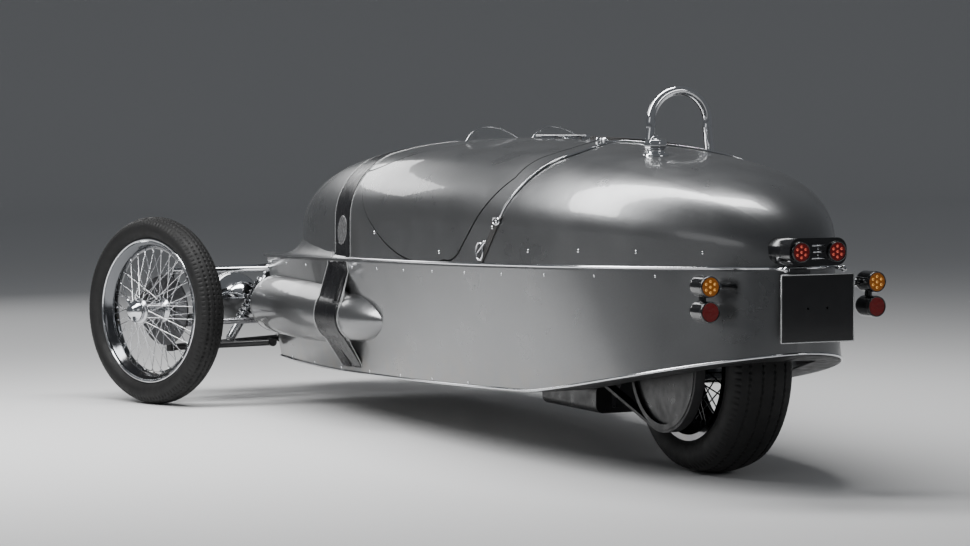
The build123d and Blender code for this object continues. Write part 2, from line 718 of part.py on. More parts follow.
front_parts = {}
for side, name in ((1, "left"), (-1, "right")):
    axis, centre = wheel_axis(side), wheel_centre(side)
    front_parts["tyre_" + name] = tyre(centre, axis, front_radius, front_width, front_bead, front_seat - 0.1)
    front_parts["wheel_" + name] = wire_wheel(centre, axis, front_bead - 0.1, front_seat, 44, 36, spoke_pairs)
    with BuildPart() as disc:
        turned(centre, axis, [(0, -36), (60, -36), (60, -40), (125, -40), (125, -47), (0, -47)])
    front_parts["brake_disc_" + name] = disc
    with BuildPart() as upright:
        top = point(side * king_x, king_at, king_high - boss_half - run_gap)
        low = point(side * king_x, king_at, king_low + boss_half + run_gap)
        rod(low, top, 17)
        middle = Vector(centre.X, centre.Y, centre.Z) - axis * stub
        rod(middle, centre - axis * (47 + run_gap), 24)
        back = Vector(-sin(steer_rest * pi / 180), cos(steer_rest * pi / 180), 0)
        heel = Vector(middle.X, middle.Y, arm_z)
        rod(heel, heel + back * (arm_length + 12), arm_radius)
    front_parts["upright_" + name] = upright

rear_axis = Vector(1, 0, 0)
rear_centre = point(0, wheelbase, rear_radius)
rear_tyre = tyre(rear_centre, rear_axis, rear_radius, rear_width, rear_bead, rear_seat - 0.1)
rear_wheel = wire_wheel(rear_centre, rear_axis, rear_bead - 0.1, rear_seat, 60, 60, 10)
with BuildPart() as drive_pulley:
    half = pulley_width / 2
    turned(rear_centre, rear_axis, [(0, 60), (70, 60), (70, pulley_x - 6), (pulley_radius - 14, pulley_x - 6),
                                    (pulley_radius - 14, pulley_x - half), (pulley_radius, pulley_x - half),
                                    (pulley_radius, pulley_x + half), (pulley_radius - 14, pulley_x + half),
                                    (pulley_radius - 14, pulley_x + 6), (0, pulley_x + 6)])

arm_rows = [                 # x of the arm, tube radius
    (196.0, 15.0),
    (-138.0, 15.0),
]
with BuildPart() as swing_arm:
    for arm_x, arm_tube in arm_rows:
        rod(point(arm_x, sprocket_at, sprocket_z), point(arm_x, wheelbase, rear_radius), arm_tube)
    rod(point(-160, sprocket_at, sprocket_z), point(-98.3, sprocket_at, sprocket_z), 24)
    rod(point(170, sprocket_at, sprocket_z), point(212, sprocket_at, sprocket_z), 24)
    rod(point(-152, wheelbase, rear_radius), point(-60 - run_gap, wheelbase, rear_radius), 22)
    rod(point(pulley_x + 6 + run_gap, wheelbase, rear_radius), point(212, wheelbase, rear_radius), 22)


def belt_loop(grow):
    """Outline round both pulleys, `grow` outside their faces."""
    with BuildSketch(Plane.YZ.offset(pulley_x - pulley_width / 2 + 2)) as loop:
        with Locations((place(wheelbase), rear_radius)):
            Circle(pulley_radius + grow)
        with Locations((place(sprocket_at), sprocket_z)):
            Circle(sprocket_radius + grow)
        make_hull()
    return loop.sketch


with BuildPart() as drive_belt:
    extrude(belt_loop(run_gap + belt_thick), amount=pulley_width - 4)
    extrude(belt_loop(run_gap), amount=pulley_width - 4, mode=Mode.SUBTRACT)

with BuildPart() as drive_unit:
    with BuildSketch(Plane.XZ.offset(-place(1740))):
        with Locations((0, 175)):
            RectangleRounded(300, 84, 24)
    extrude(amount=-350)
    add(tub_outer, mode=Mode.SUBTRACT)
    with BuildSketch(Plane.YZ.offset(-98)):
        with BuildLine():
            Polyline((place(2060), 150), (place(2110), 150), (place(sprocket_at + 10), sprocket_z - 20),
                     (place(sprocket_at), sprocket_z + 20), (place(bay_from + 4), sprocket_z + 20),
                     (place(bay_from + 4), 205), (place(2060), 205), close=True)
        make_face()
    extrude(amount=196)
    rod(point(-98, sprocket_at, sprocket_z), point(128, sprocket_at, sprocket_z), 25)
    rod(point(128, sprocket_at, sprocket_z), point(169.7, sprocket_at, sprocket_z), 12)
    rod(point(pulley_x - pulley_width / 2, sprocket_at, sprocket_z),
        point(pulley_x + pulley_width / 2, sprocket_at, sprocket_z), sprocket_radius)
    add(tub.part, mode=Mode.SUBTRACT)

bar_z, bar_width, bar_height, bar_corner = 647.0, 178.0, 74.0, 30.0
bar_from, lens_at = 2900.0, 3050.0
lamp_out, lamp_size, lens_thick = 56.0, 24.0, 7.0
with BuildPart() as tail_lamp_bar:
    with BuildSketch(Plane.XZ.offset(-place(bar_from))):
        with Locations((0, bar_z)):
            RectangleRounded(bar_width, bar_height, bar_corner)
    extrude(amount=-(lens_at - bar_from))
    add(body_outer, mode=Mode.SUBTRACT)

with BuildPart() as tail_lamps:
    with BuildSketch(Plane.XZ.offset(-place(lens_at))):
        with Locations((-lamp_out, bar_z), (lamp_out, bar_z)):
            Circle(lamp_size)
    extrude(amount=-lens_thick)

plate_z, plate_width, plate_height = 498.0, 228.0, 181.0
plate_bolt_x, plate_hole = 30.0, 3.2
plate_at, plate_thick = 3045.0, 4.0
bracket_from, bracket_size = 2940.0, 90.0
with BuildPart() as number_plate:
    with BuildSketch(Plane.XZ.offset(-place(plate_at))):
        with Locations((0, plate_z)):
            Rectangle(plate_width, plate_height)
        with Locations((-plate_bolt_x, plate_z), (plate_bolt_x, plate_z)):
            Circle(plate_hole, mode=Mode.SUBTRACT)
    extrude(amount=-plate_thick)

with BuildPart() as plate_bracket:
    with BuildSketch(Plane.XZ.offset(-place(bracket_from))):
        with Locations((0, plate_z)):
            Rectangle(bracket_size, bracket_size)
        with Locations((-plate_bolt_x, plate_z), (plate_bolt_x, plate_z)):
            Circle(plate_hole, mode=Mode.SUBTRACT)
    extrude(amount=-(plate_at - bracket_from))
    add(tub_outer, mode=Mode.SUBTRACT)

pair_rows = [                # x, z of the lens
    (262.0, 555.0),
    (262.0, 488.0),
]
pair_at = 2930.0
bullet_radius, bullet_length = 29.0, 74.0
stalk_radius, stalk_root_x, stalk_back = 8.0, 120.0, 34.0
glass_radius, glass_thick = 25.0, 8.0
with BuildPart() as indicator_bodies:
    for side in (-1, 1):
        for pair_x, pair_z in pair_rows:
            back_at = pair_at - bullet_length + bullet_radius
            rod(point(side * pair_x, back_at, pair_z), point(side * pair_x, pair_at, pair_z), bullet_radius)
            ball(point(side * pair_x, back_at, pair_z), bullet_radius)
        upper = point(side * pair_rows[0][0], pair_at - stalk_back, pair_rows[0][1])
        lower = point(side * pair_rows[1][0], pair_at - stalk_back, pair_rows[1][1])
        rod(upper, point(side * stalk_root_x, pair_at - stalk_back - 16, pair_rows[0][1] - 6), stalk_radius)
        rod(upper, lower, stalk_radius + 2)
    add(tub_outer, mode=Mode.SUBTRACT)
    add(top_rail.part, mode=Mode.SUBTRACT)
    add(body_outer, mode=Mode.SUBTRACT)

with BuildPart() as indicator_lenses:
    with BuildSketch(Plane.XZ.offset(-place(pair_at))):
        with Locations((-pair_rows[0][0], pair_rows[0][1]), (pair_rows[0][0], pair_rows[0][1])):
            Circle(glass_radius)
    extrude(amount=-glass_thick)

with BuildPart() as rear_reflectors:
    with BuildSketch(Plane.XZ.offset(-place(pair_at))):
        with Locations((-pair_rows[1][0], pair_rows[1][1]), (pair_rows[1][0], pair_rows[1][1])):
            Circle(glass_radius)
    extrude(amount=-glass_thick)

with BuildPart() as steering_wheel:
    turned(hand_centre, column_axis, [(158, -9), (174, -9), (174, 9), (158, 9)])
    turned(hand_centre, column_axis, [(0, -30), (34, -30), (34, -14), (0, -14)])
    for step in range(3):
        angle = 2 * pi * step / 3 + pi / 2
        out = Vector(cos(angle), 0, 0) + Vector(0, -column_axis.Z, column_axis.Y) * sin(angle)
        rod(hand_centre - column_axis * 22, hand_centre + out * 164, 6)
    rod(hand_centre - column_axis * 100, hand_centre - column_axis * 20, 13)

with BuildPart() as steering_column:
    rod(column_end, hand_centre - column_axis * (100 + run_gap), column_radius)

pieces = {
    "tub": tub, "top_rail": top_rail, "scuttle": scuttle, "rear_deck": rear_deck,
    "passenger_cover": passenger_cover, "hinge_fixed": hinge_fixed, "hinge_moving": hinge_moving,
    "cockpit_rim": cockpit_rim, "rear_bulkhead": rear_bulkhead,
    "dash_panel": dash_panel, "seat_base": seat_base, "seat_back": seat_back, "roll_hoop": roll_hoop,
    "filler_cap": filler_cap, "fly_screens": fly_screens, "deck_strap": deck_strap,
    "side_pods": side_pods, "headlamps": headlamps, "headlamp_lenses": headlamp_lenses,
    "front_frame": front_frame, "motor_case": motor_case, "upper_wishbones": upper_wishbones,
    "lower_wishbones": lower_wishbones, "dampers": dampers, "springs": springs, "track_rod": track_rod,
    "rear_tyre": rear_tyre, "rear_wheel": rear_wheel, "drive_pulley": drive_pulley,
    "swing_arm": swing_arm, "drive_belt": drive_belt, "drive_unit": drive_unit,
    "tail_lamp_bar": tail_lamp_bar, "tail_lamps": tail_lamps, "number_plate": number_plate,
    "plate_bracket": plate_bracket, "indicator_bodies": indicator_bodies,
    "indicator_lenses": indicator_lenses, "rear_reflectors": rear_reflectors,
    "steering_wheel": steering_wheel, "steering_column": steering_column, **front_parts,
}
os.makedirs("parts", exist_ok=True)
for name, piece in pieces.items():
    piece.part.label = name
    export_step(piece.part, "parts/" + name + ".step")
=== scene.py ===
# %% [markdown]
# # A torpedo-bodied three wheeled car
# The CAD model gives every panel, wheel and bracket its place. This file dresses it: it gives
# each piece the finish of the real one, and adds the thin things that a CAD solid leaves out,
# such as spokes, stitching, beads and stripes. All lengths are metres, +X is the car's left and
# the nose faces -Y.

# %% Load the fixed frame
import math

import bmesh
import bpy
import numpy as np
from mathutils import Matrix, Vector


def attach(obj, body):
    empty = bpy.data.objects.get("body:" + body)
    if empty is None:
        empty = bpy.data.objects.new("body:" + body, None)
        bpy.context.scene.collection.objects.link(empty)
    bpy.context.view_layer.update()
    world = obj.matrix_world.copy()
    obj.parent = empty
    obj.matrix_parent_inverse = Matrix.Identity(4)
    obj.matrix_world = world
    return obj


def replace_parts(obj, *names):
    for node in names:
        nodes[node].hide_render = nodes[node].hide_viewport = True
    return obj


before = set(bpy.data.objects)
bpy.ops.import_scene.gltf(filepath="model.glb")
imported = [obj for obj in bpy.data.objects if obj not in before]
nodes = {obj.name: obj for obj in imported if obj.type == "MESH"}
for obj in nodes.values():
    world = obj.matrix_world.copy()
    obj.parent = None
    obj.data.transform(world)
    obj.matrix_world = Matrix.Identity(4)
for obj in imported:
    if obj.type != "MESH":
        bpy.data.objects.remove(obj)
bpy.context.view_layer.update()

# %% [markdown]
# ## Camera
# A long lens far away flattens the car, a wide lens close by makes the near wheel huge. The real
# picture was taken about seven metres from the left rear corner, so the camera stands there,
# 97 cm above the road, with a lens of 98 mm on a 36 mm wide frame and a very small roll.

# %% Camera behind the left rear corner
AXLE_Y = -1.34584            # the front axle; `at` counts metres behind it
turn, climb, roll = math.radians(25.6954), math.radians(-3.097), math.radians(-0.0837)
ahead = Vector((-math.sin(turn) * math.cos(climb), -math.cos(turn) * math.cos(climb), math.sin(climb)))
level = ahead.cross(Vector((0, 0, 1))).normalized()
above = level.cross(ahead)
across = math.cos(roll) * level + math.sin(roll) * above
upright = across.cross(ahead)
camera = bpy.data.objects.new("camera", bpy.data.cameras.new("camera"))
bpy.context.collection.objects.link(camera)
camera.matrix_world = Matrix.Translation((3.8033, 8.9289 + AXLE_Y, 0.9683)) @ Matrix(
    (across, upright, -ahead)).transposed().to_4x4()
camera.data.sensor_width = 36.0
camera.data.lens = 97.94
camera.data.clip_start, camera.data.clip_end = 0.1, 100.0
bpy.context.scene.camera = camera
print("camera at", [round(v, 3) for v in camera.location])

# %% [markdown]
# ## Floor and soft light
# A plain pale floor that curves up far in front of the car hides the horizon. Glossy paint shows
# whatever stands round it, so the size and place of a soft lamp matter more than its power: a long
# one overhead draws the highlight on the shoulders, one in front shapes the nose, and two weak
# ones lift the side and the tail.

# %% Floor swept up into a backdrop
def surface(name, grid, closed_u=False, closed_v=False):
    """Mesh from a grid of points, grid[u, v] = (x, y, z): each cell of the grid becomes one quad."""
    rows, cols = grid.shape[:2]
    u = np.arange(rows if closed_u else rows - 1)
    v = np.arange(cols if closed_v else cols - 1)
    uu, vv = np.meshgrid(u, v, indexing="ij")
    a, b = uu * cols + vv, ((uu + 1) % rows) * cols + vv
    c, d = ((uu + 1) % rows) * cols + (vv + 1) % cols, uu * cols + (vv + 1) % cols
    faces = np.stack([a, b, c, d], axis=-1).reshape(-1, 4)
    mesh = bpy.data.meshes.new(name)
    mesh.from_pydata(grid.reshape(-1, 3), [], faces.tolist())
    mesh.polygons.foreach_set("use_smooth", np.ones(len(faces), bool))
    made = bpy.data.objects.new(name, mesh)
    bpy.context.collection.objects.link(made)
    return made


def backdrop(flat=22.0, sweep=4.0, high=12.0, span=30.0):
    """Flat as far as `flat` ahead of the car, then a quarter circle of radius `sweep`, then upright."""
    arc = np.linspace(0, np.pi / 2, 24)
    along = np.concatenate([[span], -flat - sweep * np.sin(arc), [-flat - sweep]])
    height = np.concatenate([[0.0], sweep - sweep * np.cos(arc), [high]])
    side = np.linspace(-span, span, 9)
    grid = np.zeros((len(side), len(along), 3))
    grid[..., 0], grid[..., 1], grid[..., 2] = side[:, None], along[None, :], height[None, :]
    return surface("floor", grid)


floor = backdrop()
print("floor faces:", len(floor.data.polygons))


# %% Lamps and sky
def soft_lamp(name, place, target, size, watts):
    """Square lamp at `place` that faces `target`."""
    light = bpy.data.lights.new(name, "AREA")
    light.shape, light.size, light.size_y = "RECTANGLE", size[0], size[1]
    light.energy = watts
    lamp = bpy.data.objects.new(name, light)
    bpy.context.collection.objects.link(lamp)
    aim = Vector(target) - Vector(place)
    lamp.matrix_world = Matrix.Translation(place) @ aim.to_track_quat("-Z", "Y").to_matrix().to_4x4()
    return lamp


lamps = [
    soft_lamp("sky_panel", (1.2, -0.3, 3.2), (0.1, -0.1, 0.6), (1.0, 5.4), 260),
    soft_lamp("front_panel", (1.0, -6.5, 3.0), (0.2, 0.0, 0.7), (3.6, 1.2), 60),
    soft_lamp("side_panel", (6.5, 3.0, 1.9), (0, 0.2, 0.5), (4.0, 1.4), 12),
    soft_lamp("tail_panel", (-2.5, 6.5, 2.6), (0, 1.0, 0.5), (2.4, 1.2), 34),
]
world = bpy.data.worlds.new("studio")
world.use_nodes = True
world.node_tree.nodes["Background"].inputs["Color"].default_value = (0.86, 0.9, 0.96, 1)
world.node_tree.nodes["Background"].inputs["Strength"].default_value = 0.13
bpy.context.scene.world = world
bpy.context.scene.view_settings.view_transform = "AgX"
print("lamps:", [lamp.name for lamp in lamps])

# %% [markdown]
# ## Effects that several finishes share
# A shader node group is a small effect with named inputs, built once and placed in many
# materials. Each group here gives out only masks, colours or values. The shader itself stays in
# each material.

# %% Helpers that build a group
def effect(name, inputs, outputs):
    """Empty node group with float or colour sockets; returns the group and its two end nodes."""
    group = bpy.data.node_groups.new(name, "ShaderNodeTree")
    for label, kind, value in inputs:
        group.interface.new_socket(name=label, in_out="INPUT", socket_type=kind).default_value = value
    for label, kind in outputs:
        group.interface.new_socket(name=label, in_out="OUTPUT", socket_type=kind)
    return group, group.nodes.new("NodeGroupInput"), group.nodes.new("NodeGroupOutput")


def feed(tree, socket, source):
    """Links the socket to another one, or sets it to a plain value."""
    if isinstance(source, bpy.types.NodeSocket):
        tree.links.new(source, socket)
    else:
        socket.default_value = source


def joined(tree, kind, *wires, **settings):
    """New node of that kind with attributes set, and each wire (input name or index, source or value)."""
    node = tree.nodes.new(kind)
    for label, value in settings.items():
        setattr(node, label, value)
    for label, source in wires:
        feed(tree, node.inputs[label], source)
    return node


def mixed(tree, factor, first, second):
    """Colour output that goes from `first` to `second` as the factor goes from 0 to 1."""
    node = tree.nodes.new("ShaderNodeMix")
    node.data_type = "RGBA"
    for index, source in ((0, factor), (6, first), (7, second)):
        feed(tree, node.inputs[index], source)
    return node.outputs[2]


def place_in(tree):
    """Where the shaded point lies, in its object's own coordinates."""
    return tree.nodes.new("ShaderNodeTexCoord").outputs["Object"]


def noise(tree, scale, detail, **fixed):
    """Value of a cloud of that scale and detail."""
    return joined(tree, "ShaderNodeTexNoise", ("Vector", place_in(tree)), ("Scale", scale),
                  ("Detail", detail), *fixed.items()).outputs["Fac"]


FLOAT, COLOR = "NodeSocketFloat", "NodeSocketColor"
print("socket kinds:", FLOAT, COLOR)

# %% Road dust that gathers low down and in blotches
dust, enter, leave = effect(
    "road_dust", [("Height", FLOAT, 0.35), ("Fade", FLOAT, 0.25), ("Scale", FLOAT, 14.0)], [("Mask", FLOAT)])
split = joined(dust, "ShaderNodeSeparateXYZ", ("Vector", place_in(dust)))
below = joined(dust, "ShaderNodeMath", (0, enter.outputs["Height"]), (1, split.outputs["Z"]),
               operation="SUBTRACT")
low = joined(dust, "ShaderNodeMath", (0, below.outputs[0]), (1, enter.outputs["Fade"]),
             operation="DIVIDE", use_clamp=True)
blotch = noise(dust, enter.outputs["Scale"], 6.0, Roughness=0.6)
spread = joined(dust, "ShaderNodeMapRange", ("Value", blotch), ("From Min", 0.42), ("From Max", 0.68))
mask = joined(dust, "ShaderNodeMath", (0, low.outputs[0]), (1, spread.outputs["Result"]),
              operation="MULTIPLY")
dust.links.new(mask.outputs[0], leave.inputs["Mask"])
print("group:", dust.name)

# %% Fine scratches and hand marks that break up a polish
marks, enter, leave = effect(
    "polish_marks", [("Scale", FLOAT, 30.0), ("Low", FLOAT, 0.1), ("High", FLOAT, 0.25)],
    [("Roughness", FLOAT)])
smear = noise(marks, enter.outputs["Scale"], 5.0, Roughness=0.55, Distortion=0.1)
level_out = joined(marks, "ShaderNodeMapRange", ("Value", smear), ("From Min", 0.3), ("From Max", 0.75),
                   ("To Min", enter.outputs["Low"]), ("To Max", enter.outputs["High"]))
marks.links.new(level_out.outputs["Result"], leave.inputs["Roughness"])
print("group:", marks.name)

# %% Leather grain: creased cells with a little wander in their colour
grain, enter, leave = effect(
    "leather_grain", [("Scale", FLOAT, 420.0), ("Dark", COLOR, (0.05, 0.02, 0.01, 1)),
                      ("Light", COLOR, (0.12, 0.05, 0.03, 1))], [("Color", COLOR), ("Height", FLOAT)])
cells = joined(grain, "ShaderNodeTexVoronoi", ("Vector", place_in(grain)),
               ("Scale", enter.outputs["Scale"]), feature="DISTANCE_TO_EDGE")
crease = joined(grain, "ShaderNodeMapRange", ("Value", cells.outputs["Distance"]), ("From Max", 0.18))
shade = mixed(grain, noise(grain, 9.0, 5.0), enter.outputs["Dark"], enter.outputs["Light"])
grain.links.new(shade, leave.inputs["Color"])
grain.links.new(crease.outputs["Result"], leave.inputs["Height"])
print("group:", grain.name)

# %% Sand-cast skin: a fine pebbled height
cast, enter, leave = effect("cast_skin", [("Scale", FLOAT, 500.0)], [("Height", FLOAT), ("Mask", FLOAT)])
cast.links.new(noise(cast, enter.outputs["Scale"], 3.0), leave.inputs["Height"])
cast.links.new(noise(cast, 12.0, 6.0), leave.inputs["Mask"])
print("group:", cast.name)

# %% [markdown]
# ## Finishes
# Each finish is one material: a Principled shader whose fixed numbers are set on its own sockets,
# and whose colour, roughness and bump come from the groups above.

# %% Helpers that build a finish
def finish(name, color, roughness, metallic=0.0, **fixed):
    """New material; returns it with its node tree and its Principled shader."""
    made = bpy.data.materials.new(name)
    made.use_nodes = True
    tree = made.node_tree
    shader = tree.nodes["Principled BSDF"]
    shader.inputs["Base Color"].default_value = (*color, 1)
    shader.inputs["Roughness"].default_value = roughness
    shader.inputs["Metallic"].default_value = metallic
    for label, value in fixed.items():
        shader.inputs[label.replace("_", " ")].default_value = value
    return made, tree, shader


def placed(tree, group, **values):
    """The group as a node of this material, with its inputs set."""
    node = tree.nodes.new("ShaderNodeGroup")
    node.node_tree = group
    for label, value in values.items():
        node.inputs[label].default_value = value
    return node


def bumped(tree, shader, height, distance, strength=1.0):
    """Feeds a height into the shader's normal; distance is the depth of the relief in metres."""
    bump = joined(tree, "ShaderNodeBump", ("Height", height), ("Distance", distance), ("Strength", strength))
    tree.links.new(bump.outputs["Normal"], shader.inputs["Normal"])


def glossed(tree, shader, scale, low, high):
    """Roughness that wanders between low and high."""
    gloss = placed(tree, marks, Scale=scale, Low=low, High=high)
    tree.links.new(gloss.outputs[0], shader.inputs["Roughness"])


def dusted(tree, shader, color, dust_color, height, fade=0.25):
    """Base colour that turns into the dust's colour below that height."""
    powder = placed(tree, dust, Height=height, Fade=fade)
    tree.links.new(mixed(tree, powder.outputs[0], color, dust_color), shader.inputs["Base Color"])


PALE_DUST, DARK_DUST = (0.25, 0.23, 0.2, 1), (0.06, 0.055, 0.05, 1)
print("dust on bright pieces:", PALE_DUST[:3], "on dark ones:", DARK_DUST[:3])


def polished(name, color, low, high, metallic=1.0, scale=30.0, dusty=0.3, dust_color=PALE_DUST, **fixed):
    """Finish whose gloss wanders between two roughness values, with dust low down."""
    made, tree, shader = finish(name, color, low, metallic, **fixed)
    glossed(tree, shader, scale, low, high)
    dusted(tree, shader, (*color, 1), dust_color, dusty)
    return made


# %% [markdown]
# ### Silver paint
# Metallic paint is a dark base with tiny flakes that each catch the light at their own angle,
# under a thick clear coat. The flakes are a fine cell pattern that tilts the normal of the base
# only, so that the coat above it keeps a clean mirror.

# %% Silver paint
silver, tree, shader = finish("silver_paint", (0.2, 0.203, 0.207), 0.3, 0.88,
                              Coat_Weight=0.7, Coat_Roughness=0.04)
flake = joined(tree, "ShaderNodeTexVoronoi", ("Vector", place_in(tree)), ("Scale", 900.0))
sparkle = mixed(tree, flake.outputs["Distance"], (0.235, 0.238, 0.242, 1), (0.165, 0.168, 0.171, 1))
dusted(tree, shader, sparkle, (0.24, 0.22, 0.19, 1), 0.33, 0.2)
glossed(tree, shader, 6.0, 0.26, 0.36)
bumped(tree, shader, flake.outputs["Color"], 0.00002, 0.35)
print("finish:", silver.name)

# %% Metals
chrome = polished("chrome_plate", (0.82, 0.83, 0.85), 0.03, 0.12, dusty=0.2)
alloy = polished("polished_alloy", (0.66, 0.67, 0.69), 0.14, 0.34, scale=60.0, dusty=0.25)
machined = polished("machined_steel", (0.42, 0.42, 0.44), 0.22, 0.42, scale=80.0, dusty=0.25)
brass = polished("brass_fins", (0.62, 0.43, 0.17), 0.22, 0.4, scale=50.0, dusty=0.35)
dark_metal = polished("dark_chrome", (0.16, 0.165, 0.175), 0.08, 0.2, dusty=0.25)
disc_iron = polished("ground_disc", (0.14, 0.14, 0.145), 0.25, 0.4, scale=90.0, dusty=0.25)
print("finishes:", chrome.name, alloy.name, machined.name, brass.name, dark_metal.name, disc_iron.name)

# %% Lamp shell, polished above its seam and painted below
lamp_shell, tree, shader = finish("lamp_shell", (0.6, 0.61, 0.63), 0.1, 1.0)
split = joined(tree, "ShaderNodeSeparateXYZ", ("Vector", place_in(tree)))
upper = joined(tree, "ShaderNodeMapRange", ("Value", split.outputs["Z"]), ("From Min", 0.3605),
               ("From Max", 0.3615)).outputs["Result"]
tree.links.new(mixed(tree, upper, (0.15, 0.152, 0.156, 1), (0.8, 0.81, 0.83, 1)), shader.inputs["Base Color"])
satin = placed(tree, marks, Scale=6.0, Low=0.3, High=0.4)
mirror = placed(tree, marks, Scale=30.0, Low=0.06, High=0.14)
tree.links.new(mixed(tree, upper, satin.outputs[0], mirror.outputs[0]), shader.inputs["Roughness"])
print("finish:", lamp_shell.name)

# %% Painted and moulded black
frame_black = polished("frame_black", (0.01, 0.01, 0.011), 0.24, 0.5, 0.0, dusty=0.16, dust_color=DARK_DUST)
satin_black = polished("satin_black", (0.016, 0.016, 0.017), 0.35, 0.6, 0.0, dusty=0.16, dust_color=DARK_DUST)
gloss_black = polished("gloss_black", (0.008, 0.008, 0.009), 0.06, 0.16, 0.0, dusty=0.1, Coat_Weight=0.8)
stripe_black = polished("stripe_black", (0.008, 0.008, 0.009), 0.2, 0.34, 0.0, dusty=0.2,
                        Specular_IOR_Level=0.3)
stripe_light = polished("stripe_light", (0.55, 0.56, 0.56), 0.14, 0.26, 0.3, dusty=0.3, Coat_Weight=1.0)
oval_grey = polished("oval_grey", (0.13, 0.13, 0.132), 0.2, 0.34, 0.3, dusty=0.2)
print("finishes: blacks and stripes")

# %% Cast alloy
cast_alloy, tree, shader = finish("cast_alloy", (0.2, 0.2, 0.21), 0.5, 0.9)
skin_cast = placed(tree, cast, Scale=700.0)
tree.links.new(mixed(tree, skin_cast.outputs["Mask"], (0.15, 0.15, 0.155, 1), (0.3, 0.3, 0.31, 1)),
               shader.inputs["Base Color"])
glossed(tree, shader, 40.0, 0.38, 0.62)
bumped(tree, shader, skin_cast.outputs["Height"], 0.0003, 0.6)
print("finish:", cast_alloy.name)


# %% [markdown]
# ### Leather
# Leather reads as leather by its creased grain, a soft sheen and a colour that wanders. The same
# group makes the brown hide of the seats and the black hide of the padded rim.

# %% Leather
def leather(name, dark, light, scale, low, high):
    """Leather with creased grain of that scale and a roughness between low and high."""
    made, tree, shader = finish(name, light[:3], low, 0.0, Sheen_Weight=0.08)
    hide = placed(tree, grain, Scale=scale, Dark=dark, Light=light)
    tree.links.new(hide.outputs["Color"], shader.inputs["Base Color"])
    glossed(tree, shader, 24.0, low, high)
    bumped(tree, shader, hide.outputs["Height"], 0.0004, 0.5)
    return made


seat_hide = leather("seat_hide", (0.075, 0.024, 0.01, 1), (0.16, 0.055, 0.024, 1), 330.0, 0.38, 0.6)
rim_hide = leather("rim_hide", (0.012, 0.011, 0.011, 1), (0.03, 0.028, 0.027, 1), 420.0, 0.32, 0.55)
print("finishes:", seat_hide.name, rim_hide.name)

# %% Tyre rubber, black with a faint road film
rubber, tree, shader = finish("tyre_rubber", (0.012, 0.012, 0.0125), 0.6, 0.0, Specular_IOR_Level=0.3)
film = noise(tree, 18.0, 8.0)
worn = mixed(tree, film, (0.007, 0.007, 0.0075, 1), (0.015, 0.0148, 0.0145, 1))
dusted(tree, shader, worn, (0.03, 0.028, 0.026, 1), 0.12, 0.3)
glossed(tree, shader, 40.0, 0.5, 0.72)
bumped(tree, shader, film, 0.0005, 0.4)
print("finish:", rubber.name)


# %% Glass and coloured lenses
def lens(name, color, weight, roughness=0.05):
    """Clear or coloured plastic with a moulded ripple."""
    made, tree, shader = finish(name, color, roughness, 0.0, Transmission_Weight=weight, IOR=1.49,
                                Coat_Weight=0.6)
    ripple = joined(tree, "ShaderNodeTexVoronoi", ("Vector", place_in(tree)), ("Scale", 160.0))
    bumped(tree, shader, ripple.outputs["Distance"], 0.0006, 0.5)
    glossed(tree, shader, 50.0, roughness, roughness + 0.1)
    return made


amber = lens("amber_lens", (0.55, 0.16, 0.008), 0.2)
red = lens("red_lens", (0.22, 0.004, 0.004), 0.2)
# The LED dots glow faintly: the glow is a painted highlight on the dots, not the light of a lit lamp.
amber_led_painted_glow = polished("amber_led_painted_glow", (1.0, 0.6, 0.16), 0.12, 0.2, 0.2, dusty=0.0,
                     Emission_Color=(1, 0.55, 0.12, 1), Emission_Strength=0.5)
red_led_painted_glow = polished("red_led_painted_glow", (1.0, 0.2, 0.14), 0.12, 0.2, 0.2, dusty=0.0,
                   Emission_Color=(1, 0.16, 0.1, 1), Emission_Strength=0.4)
lamp_glass = lens("lamp_glass", (0.85, 0.88, 0.9), 0.9)
clear = polished("screen_clear", (0.8, 0.84, 0.86), 0.02, 0.06, 0.0, dusty=0.0,
                 Transmission_Weight=0.95, IOR=1.49, Alpha=0.16)
print("finishes:", amber.name, red.name, lamp_glass.name, clear.name)

# %% Give each CAD node its finish
node_finish = {
    silver: ["tub", "top_rail", "scuttle", "rear_deck", "passenger_cover", "side_pods"],
    lamp_shell: ["headlamps"],
    chrome: ["hinge_fixed", "hinge_moving", "roll_hoop", "filler_cap", "upper_wishbones",
             "wheel_left", "wheel_right"],
    frame_black: ["front_frame", "lower_wishbones", "swing_arm", "plate_bracket", "steering_column",
                  "springs", "drive_pulley", "drive_unit"],
    dark_metal: ["rear_wheel"],
    alloy: ["rear_bulkhead", "dampers", "dash_panel"],
    machined: ["track_rod"],
    disc_iron: ["brake_disc_left", "brake_disc_right"],
    cast_alloy: ["motor_case", "upright_left", "upright_right"],
    rim_hide: ["cockpit_rim", "steering_wheel", "deck_strap"],
    seat_hide: ["seat_base", "seat_back"],
    rubber: ["tyre_left", "tyre_right", "rear_tyre"],
    satin_black: ["drive_belt"],
    gloss_black: ["number_plate", "tail_lamp_bar", "indicator_bodies"],
    clear: ["fly_screens"],
    lamp_glass: ["headlamp_lenses"],
    amber: ["indicator_lenses"],
    red: ["tail_lamps", "rear_reflectors"],
}
for material, names in node_finish.items():
    for name in names:
        for slot in nodes[name].material_slots:
            slot.material = material
print("dressed nodes:", sum(len(names) for names in node_finish.values()), "of", len(nodes))

# %% [markdown]
# ## The body's skin as a formula
# Strips, stripes and studs have to lie on the painted skin, so this cell repeats the curve that
# shaped it. The half width and the rise above the belt line are superellipses along the car. A
# section is an upright side, a shoulder arc and one broad arc over the top.

# %% Skin of the upper body and the tub
HALF, WIDEST, CREST, RISE, NOSE, TAIL = 0.489, 1.328, 1.161, 0.386, -0.181, 2.986
TUB_NOSE, BELT_Z, BELT_SLOPE = -0.258, 0.525, 0.0255
SIDE_NOSE, SIDE_TAIL, TOP_NOSE, TOP_TAIL = (1.9, 2.03), (2.56, 1.648), (2.206, 1.964), (2.11, 2.465)


